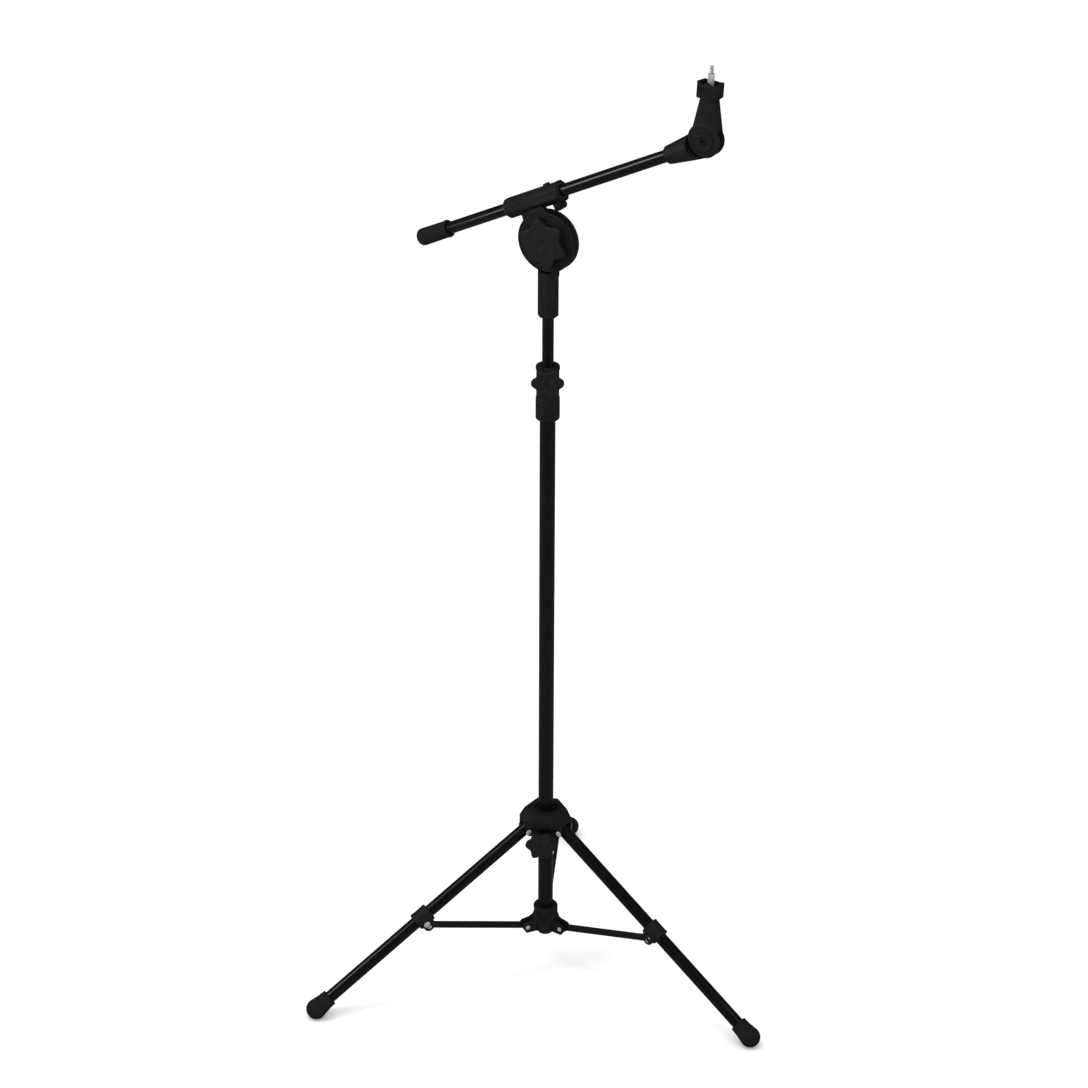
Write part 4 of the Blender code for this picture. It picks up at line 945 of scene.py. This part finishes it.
def hex_nut(name, node, across, hole, low, high, matrix, axis):
    """Hexagon nut with chamfered corners and a bore."""
    nut = slab(name, polygon(6, across / 2, math.pi / 6), low, high, matrix, axis, 0.0003)
    carve(nut, (), [rod(hole, low - OVERLAP, high + OVERLAP, matrix, axis)], 0.0001)
    piece(nut, "bright_steel", node)


# Boom and head

def build_boom():
    """Boom tube, rubber end cap and elbow socket."""
    back, front = CAP_END + 0.0040, ELBOW_MOUTH + 0.0300
    piece(lathe("boom", tube_profile(BOOM_R, 0.0073, back, front), TUBE, "X"),
          "gloss_black_paint", "boom_tube")
    bore = BOOM_R + GAP
    mouth = CAP_END + CAP_LENGTH
    cap = [(0, back - GAP), (bore, back - GAP), (bore, mouth), (CAP_R - 0.0003, mouth),
           (CAP_R + 0.0003, mouth - 0.0010), (CAP_R + 0.0003, mouth - 0.0032),
           (CAP_R - 0.0003, mouth - 0.0044), (CAP_R, CAP_END + 0.0060),
           (CAP_R - 0.0004, CAP_END + 0.0025), (CAP_R - 0.0024, CAP_END), (0, CAP_END)]
    piece(lathe("end_cap", cap, TUBE, "X", 0.0010), "black_rubber", "boom_end_cap")
    shoulder = ELBOW_ALONG - CHEEK_R - 0.0010
    depth = front + GAP
    nose = ELBOW_ALONG - 0.0120
    cone = [(0, nose), (0.0178, nose), (0.0185, nose - 0.0010), (0.0172, shoulder - 0.0012),
            (0.0125, ELBOW_MOUTH + 0.0012), (0.0119, ELBOW_MOUTH), (bore, ELBOW_MOUTH),
            (bore, depth), (0, depth)]
    socket = lathe("boom_head", cone, TUBE, "X", 0.0008)
    pivot = at(BOOM, ELBOW_ALONG, 0, BOOM_OFFSET + ELBOW_RISE)
    half = 0.0060
    tongue = [(shoulder - 0.0060, BOOM_OFFSET - 0.0150), (ELBOW_ALONG, BOOM_OFFSET - 0.0120),
              (ELBOW_ALONG, BOOM_OFFSET + 0.0150), (shoulder - 0.0060, BOOM_OFFSET + 0.0150)]
    joins = [slab("tongue", anticlockwise(tongue), -half, half, BOOM, "Y", 0.0003),
             rod(0.0160, -half, half, pivot, "Y", ROUND)]
    cuts = [rod(SCREW_HOLE, -0.0080, 0.0080, pivot, "Y"),
            rod(CHEEK_R + 0.0007, half, 0.0240, pivot, "Y", LARGE_ROUND),
            rod(CHEEK_R + 0.0007, -0.0240, -half, pivot, "Y", LARGE_ROUND)]
    carve(socket, joins, cuts, 0.0003)
    piece(socket, "matte_black_plastic", "elbow_socket")
    build_elbow_fixings()


def build_elbow_fixings():
    """Socket-head bolt and lock nut through the elbow."""
    floor = CHEEK_FACE - 0.0020 + GAP
    head_top = -floor - 0.0034
    seat = CHEEK_FACE + 0.0010 + GAP
    bolt = lathe("elbow_screw", [(0, seat + 0.0060), (0.0030, seat + 0.0060), (0.0030, -floor),
                                 (0.0050, -floor), (0.0050, head_top), (0, head_top)],
                 ARM, "Y", 0.0004, SMALL_ROUND)
    key = polygon(6, 0.0020, 0)
    carve(bolt, (), [skin("tool", [(key, head_top - OVERLAP), (key, head_top + 0.0022)],
                          ARM, "Y")])
    piece(bolt, "satin_black_paint", "elbow_bolt")
    hex_nut("elbow_lock_nut", "elbow_nut", 0.0100, 0.0033, seat, seat + 0.0052, ARM, "Y")


def build_arm():
    """Forked arm: ringed cheeks and a tapering body."""
    face, boss = CHEEK_FACE, CHEEK_FACE + 0.0010
    side = [(0.0145, boss), (0.0145, face), (0.0160, face), (0.0163, face - 0.0004),
            (0.0169, face - 0.0004), (0.0172, face), (CHEEK_R - 0.0025, face),
            (CHEEK_R, face - 0.0025)]
    ridge = [(0.0088, boss), (0.0092, boss - 0.0004), (0.0105, boss - 0.0004),
             (0.0109, boss)]
    front = [(radius, -height) for radius, height in reversed(ridge + side)]
    profile = [(0.0033, boss)] + ridge + side + front
    profile += [(0.0053, -boss), (0.0053, -face + 0.0020), (0.0033, -face + 0.0020)]
    arm = lathe("arm_fork", profile, ARM, "Y", 0.0003, LARGE_ROUND)
    low, high = 0.0120, ARM_TOP
    rows = []
    for step in range(9):
        share = step / 8
        half_width = 0.0185 * (1 - 0.46 * share)
        half_depth = (face - 0.0006) * (1 - 0.18 * share)
        plan = [(-half_depth, -half_width), (half_depth, -half_width),
                (half_depth, half_width), (-half_depth, half_width)]
        rows.append((soften(plan, 0.0016, True, 3), low + (high - low) * share))
    body = skin("body", rows, LINE, "X")
    cuts = [rod(0.0242, -0.0064, 0.0064, ARM, "Y", LARGE_ROUND),
            rod(STUD_R + GAP, ARM_TOP - 0.0083, ARM_TOP + OVERLAP, LINE, "X")]
    carve(arm, [body], cuts, 0.00025)
    piece(arm, "matte_black_plastic", "elbow_arm")


def build_saddle():
    """Rubber saddle: side ribs, hollowed top and wavy rim."""
    width, depth = 0.01475, 0.0110
    rows = []
    for height, shrink in ((CUP_BOTTOM, 0.0010), (CUP_BOTTOM + 0.0006, 0.0003),
                           (CUP_BOTTOM + 0.0012, 0), (CUP_FRONT, 0)):
        plan = [(-depth + shrink, -width + shrink), (depth - shrink, -width + shrink),
                (depth - shrink, width - shrink), (-depth + shrink, width - shrink)]
        rows.append((soften(plan, 0.0020, True, 4), height))
    saddle = skin("saddle", rows, LINE, "X")
    wall = 0.0028
    slope = [(CUP_FRONT - 0.0002, -0.0130), (CUP_FRONT + 0.0060, -0.0130),
             (CUP_FRONT + 0.0060, 0.0130), (CUP_RIM - 0.0004, 0.0130)]
    cuts = [box((CUP_FLOOR, -depth + wall, -width + wall),
                (CUP_FRONT + OVERLAP, depth - wall, width - wall), LINE),
            skin("tool", [(slope, -0.0200), (slope, 0.0200)], LINE, "Z"),
            box((CUP_BOTTOM - OVERLAP, -0.0080, -0.0112), (ARM_TOP + GAP, 0.0080, 0.0112), LINE),
            rod(STUD_R + GAP, CUP_BOTTOM, CUP_RIM, LINE, "X")]
    for offset in (-0.0075, 0.0075):
        cuts.append(rod(0.0080, -0.0200, 0.0200, at(LINE, CUP_RIM + 0.0072, 0, offset), "Y"))
    for index in range(7):
        spot = -0.0120 + 0.0040 * index
        for face in (-depth, depth):
            cuts.append(rod(0.0005, CUP_BOTTOM + 0.0030, CUP_RIM - 0.0050,
                            at(LINE, 0, face, spot), "X", 16))
    carve(saddle, (), cuts, 0.0003)
    piece(saddle, "black_rubber", "saddle_cup")
    piece(threaded("threaded_stud", STUD_R, ARM_TOP - 0.0080, STUD_TOP, LINE, THREAD_PITCH),
          "bright_steel", "stud")
    hex_nut("stud_hex_nut", "stud_nut", 0.0085, STUD_R + GAP, CUP_FLOOR + GAP, 0.0888, LINE,
            "X")


# Stage

def build_floor():
    """Pale floor, which glossy finishes see as dark."""
    floor_mesh = bpy.data.meshes.new("floor")
    reach = FLOOR_REACH
    floor_mesh.from_pydata([(-reach, -reach, 0), (reach, -reach, 0), (reach, reach, 0),
                            (-reach, reach, 0)], [], [(0, 1, 2, 3)])
    floor = bpy.data.objects.new("floor", floor_mesh)
    floor.location.z = -FLOOR_DROP
    bpy.context.scene.collection.objects.link(floor)
    paper = bpy.data.materials.new("paper")
    paper.use_nodes = True
    nodes, links = paper.node_tree.nodes, paper.node_tree.links
    shader = nodes["Principled BSDF"]
    shader.inputs["Roughness"].default_value = 1.0
    shader.inputs["Specular IOR Level"].default_value = 0.0
    rays = nodes.new("ShaderNodeLightPath")
    mix = nodes.new("ShaderNodeMix")
    mix.data_type = "RGBA"
    mix.inputs["A"].default_value = (*[FLOOR_WHITE] * 3, 1)
    mix.inputs["B"].default_value = (*[FLOOR_IN_GLOSS] * 3, 1)
    links.new(rays.outputs["Is Glossy Ray"], mix.inputs["Factor"])
    links.new(mix.outputs["Result"], shader.inputs["Base Color"])
    floor_mesh.materials.append(paper)


def build_sky():
    """Even white light all round, which glossy finishes see as dark."""
    world = bpy.data.worlds.new("studio")
    bpy.context.scene.world = world
    world.use_nodes = True
    nodes, links = world.node_tree.nodes, world.node_tree.links
    background = nodes["Background"]
    background.inputs["Color"].default_value = (1, 1, 1, 1)
    rays = nodes.new("ShaderNodeLightPath")
    strength = nodes.new("ShaderNodeMapRange")
    strength.inputs["To Min"].default_value = SKY_LIGHT
    strength.inputs["To Max"].default_value = SKY_IN_GLOSS
    links.new(rays.outputs["Is Glossy Ray"], strength.inputs["Value"])
    links.new(strength.outputs["Result"], background.inputs["Strength"])


def area_light(name, size, power):
    """Add a rectangular light, still to be placed."""
    light = bpy.data.lights.new(name, "AREA")
    light.shape = "RECTANGLE"
    light.size, light.size_y = size
    light.energy = power
    lamp = bpy.data.objects.new(name, light)
    bpy.context.scene.collection.objects.link(lamp)
    return lamp


def build_lights():
    """Softboxes aimed at the mast, and a strip along the third leg."""
    for name, spot, size, power in SOFTBOXES:
        lamp = area_light(name, size, power)
        lamp.location = spot
        aim = Vector((0, 0, LIGHT_AIM)) - Vector(spot)
        lamp.rotation_euler = aim.to_track_quat("-Z", "Y").to_euler()
    lamp = area_light("leg_strip", STRIP_SIZE, STRIP_POWER)
    toward = Vector(STRIP_SIDE).normalized()
    along = leg_frame(3).col[0].xyz
    along = (along - toward * along.dot(toward)).normalized()
    turn = Matrix((along, toward.cross(along), toward)).transposed().to_4x4()
    middle = leg_frame(3) @ Vector((CLIP_ALONG, 0, 0))
    lamp.matrix_world = Matrix.Translation(middle + toward * STRIP_DISTANCE) @ turn


def build_camera():
    """Camera at the viewing angle."""
    camera_data = bpy.data.cameras.new("camera")
    camera_data.sensor_width = CAMERA_SENSOR
    camera_data.lens = CAMERA_LENS
    camera = bpy.data.objects.new("camera", camera_data)
    camera.matrix_world = (MAST @ Matrix.Rotation(CAMERA_AZIMUTH, 4, "Z")
                           @ Matrix.Translation(CAMERA_SPOT)
                           @ Matrix.Rotation(math.pi / 2 - CAMERA_PITCH, 4, "X")
                           @ Matrix.Rotation(CAMERA_ROLL, 4, "Z"))
    bpy.context.scene.collection.objects.link(camera)
    bpy.context.scene.camera = camera
    bpy.context.scene.view_settings.view_transform = "Standard"


build_mast()
build_clutch()
build_clamp_knobs()
build_hub()
build_collar()
for leg_number in (1, 2, 3):
    build_leg(leg_number)
build_tilt_joint()
build_clamp()
build_boom()
build_arm()
build_saddle()
build_floor()
build_sky()
build_lights()
build_camera()
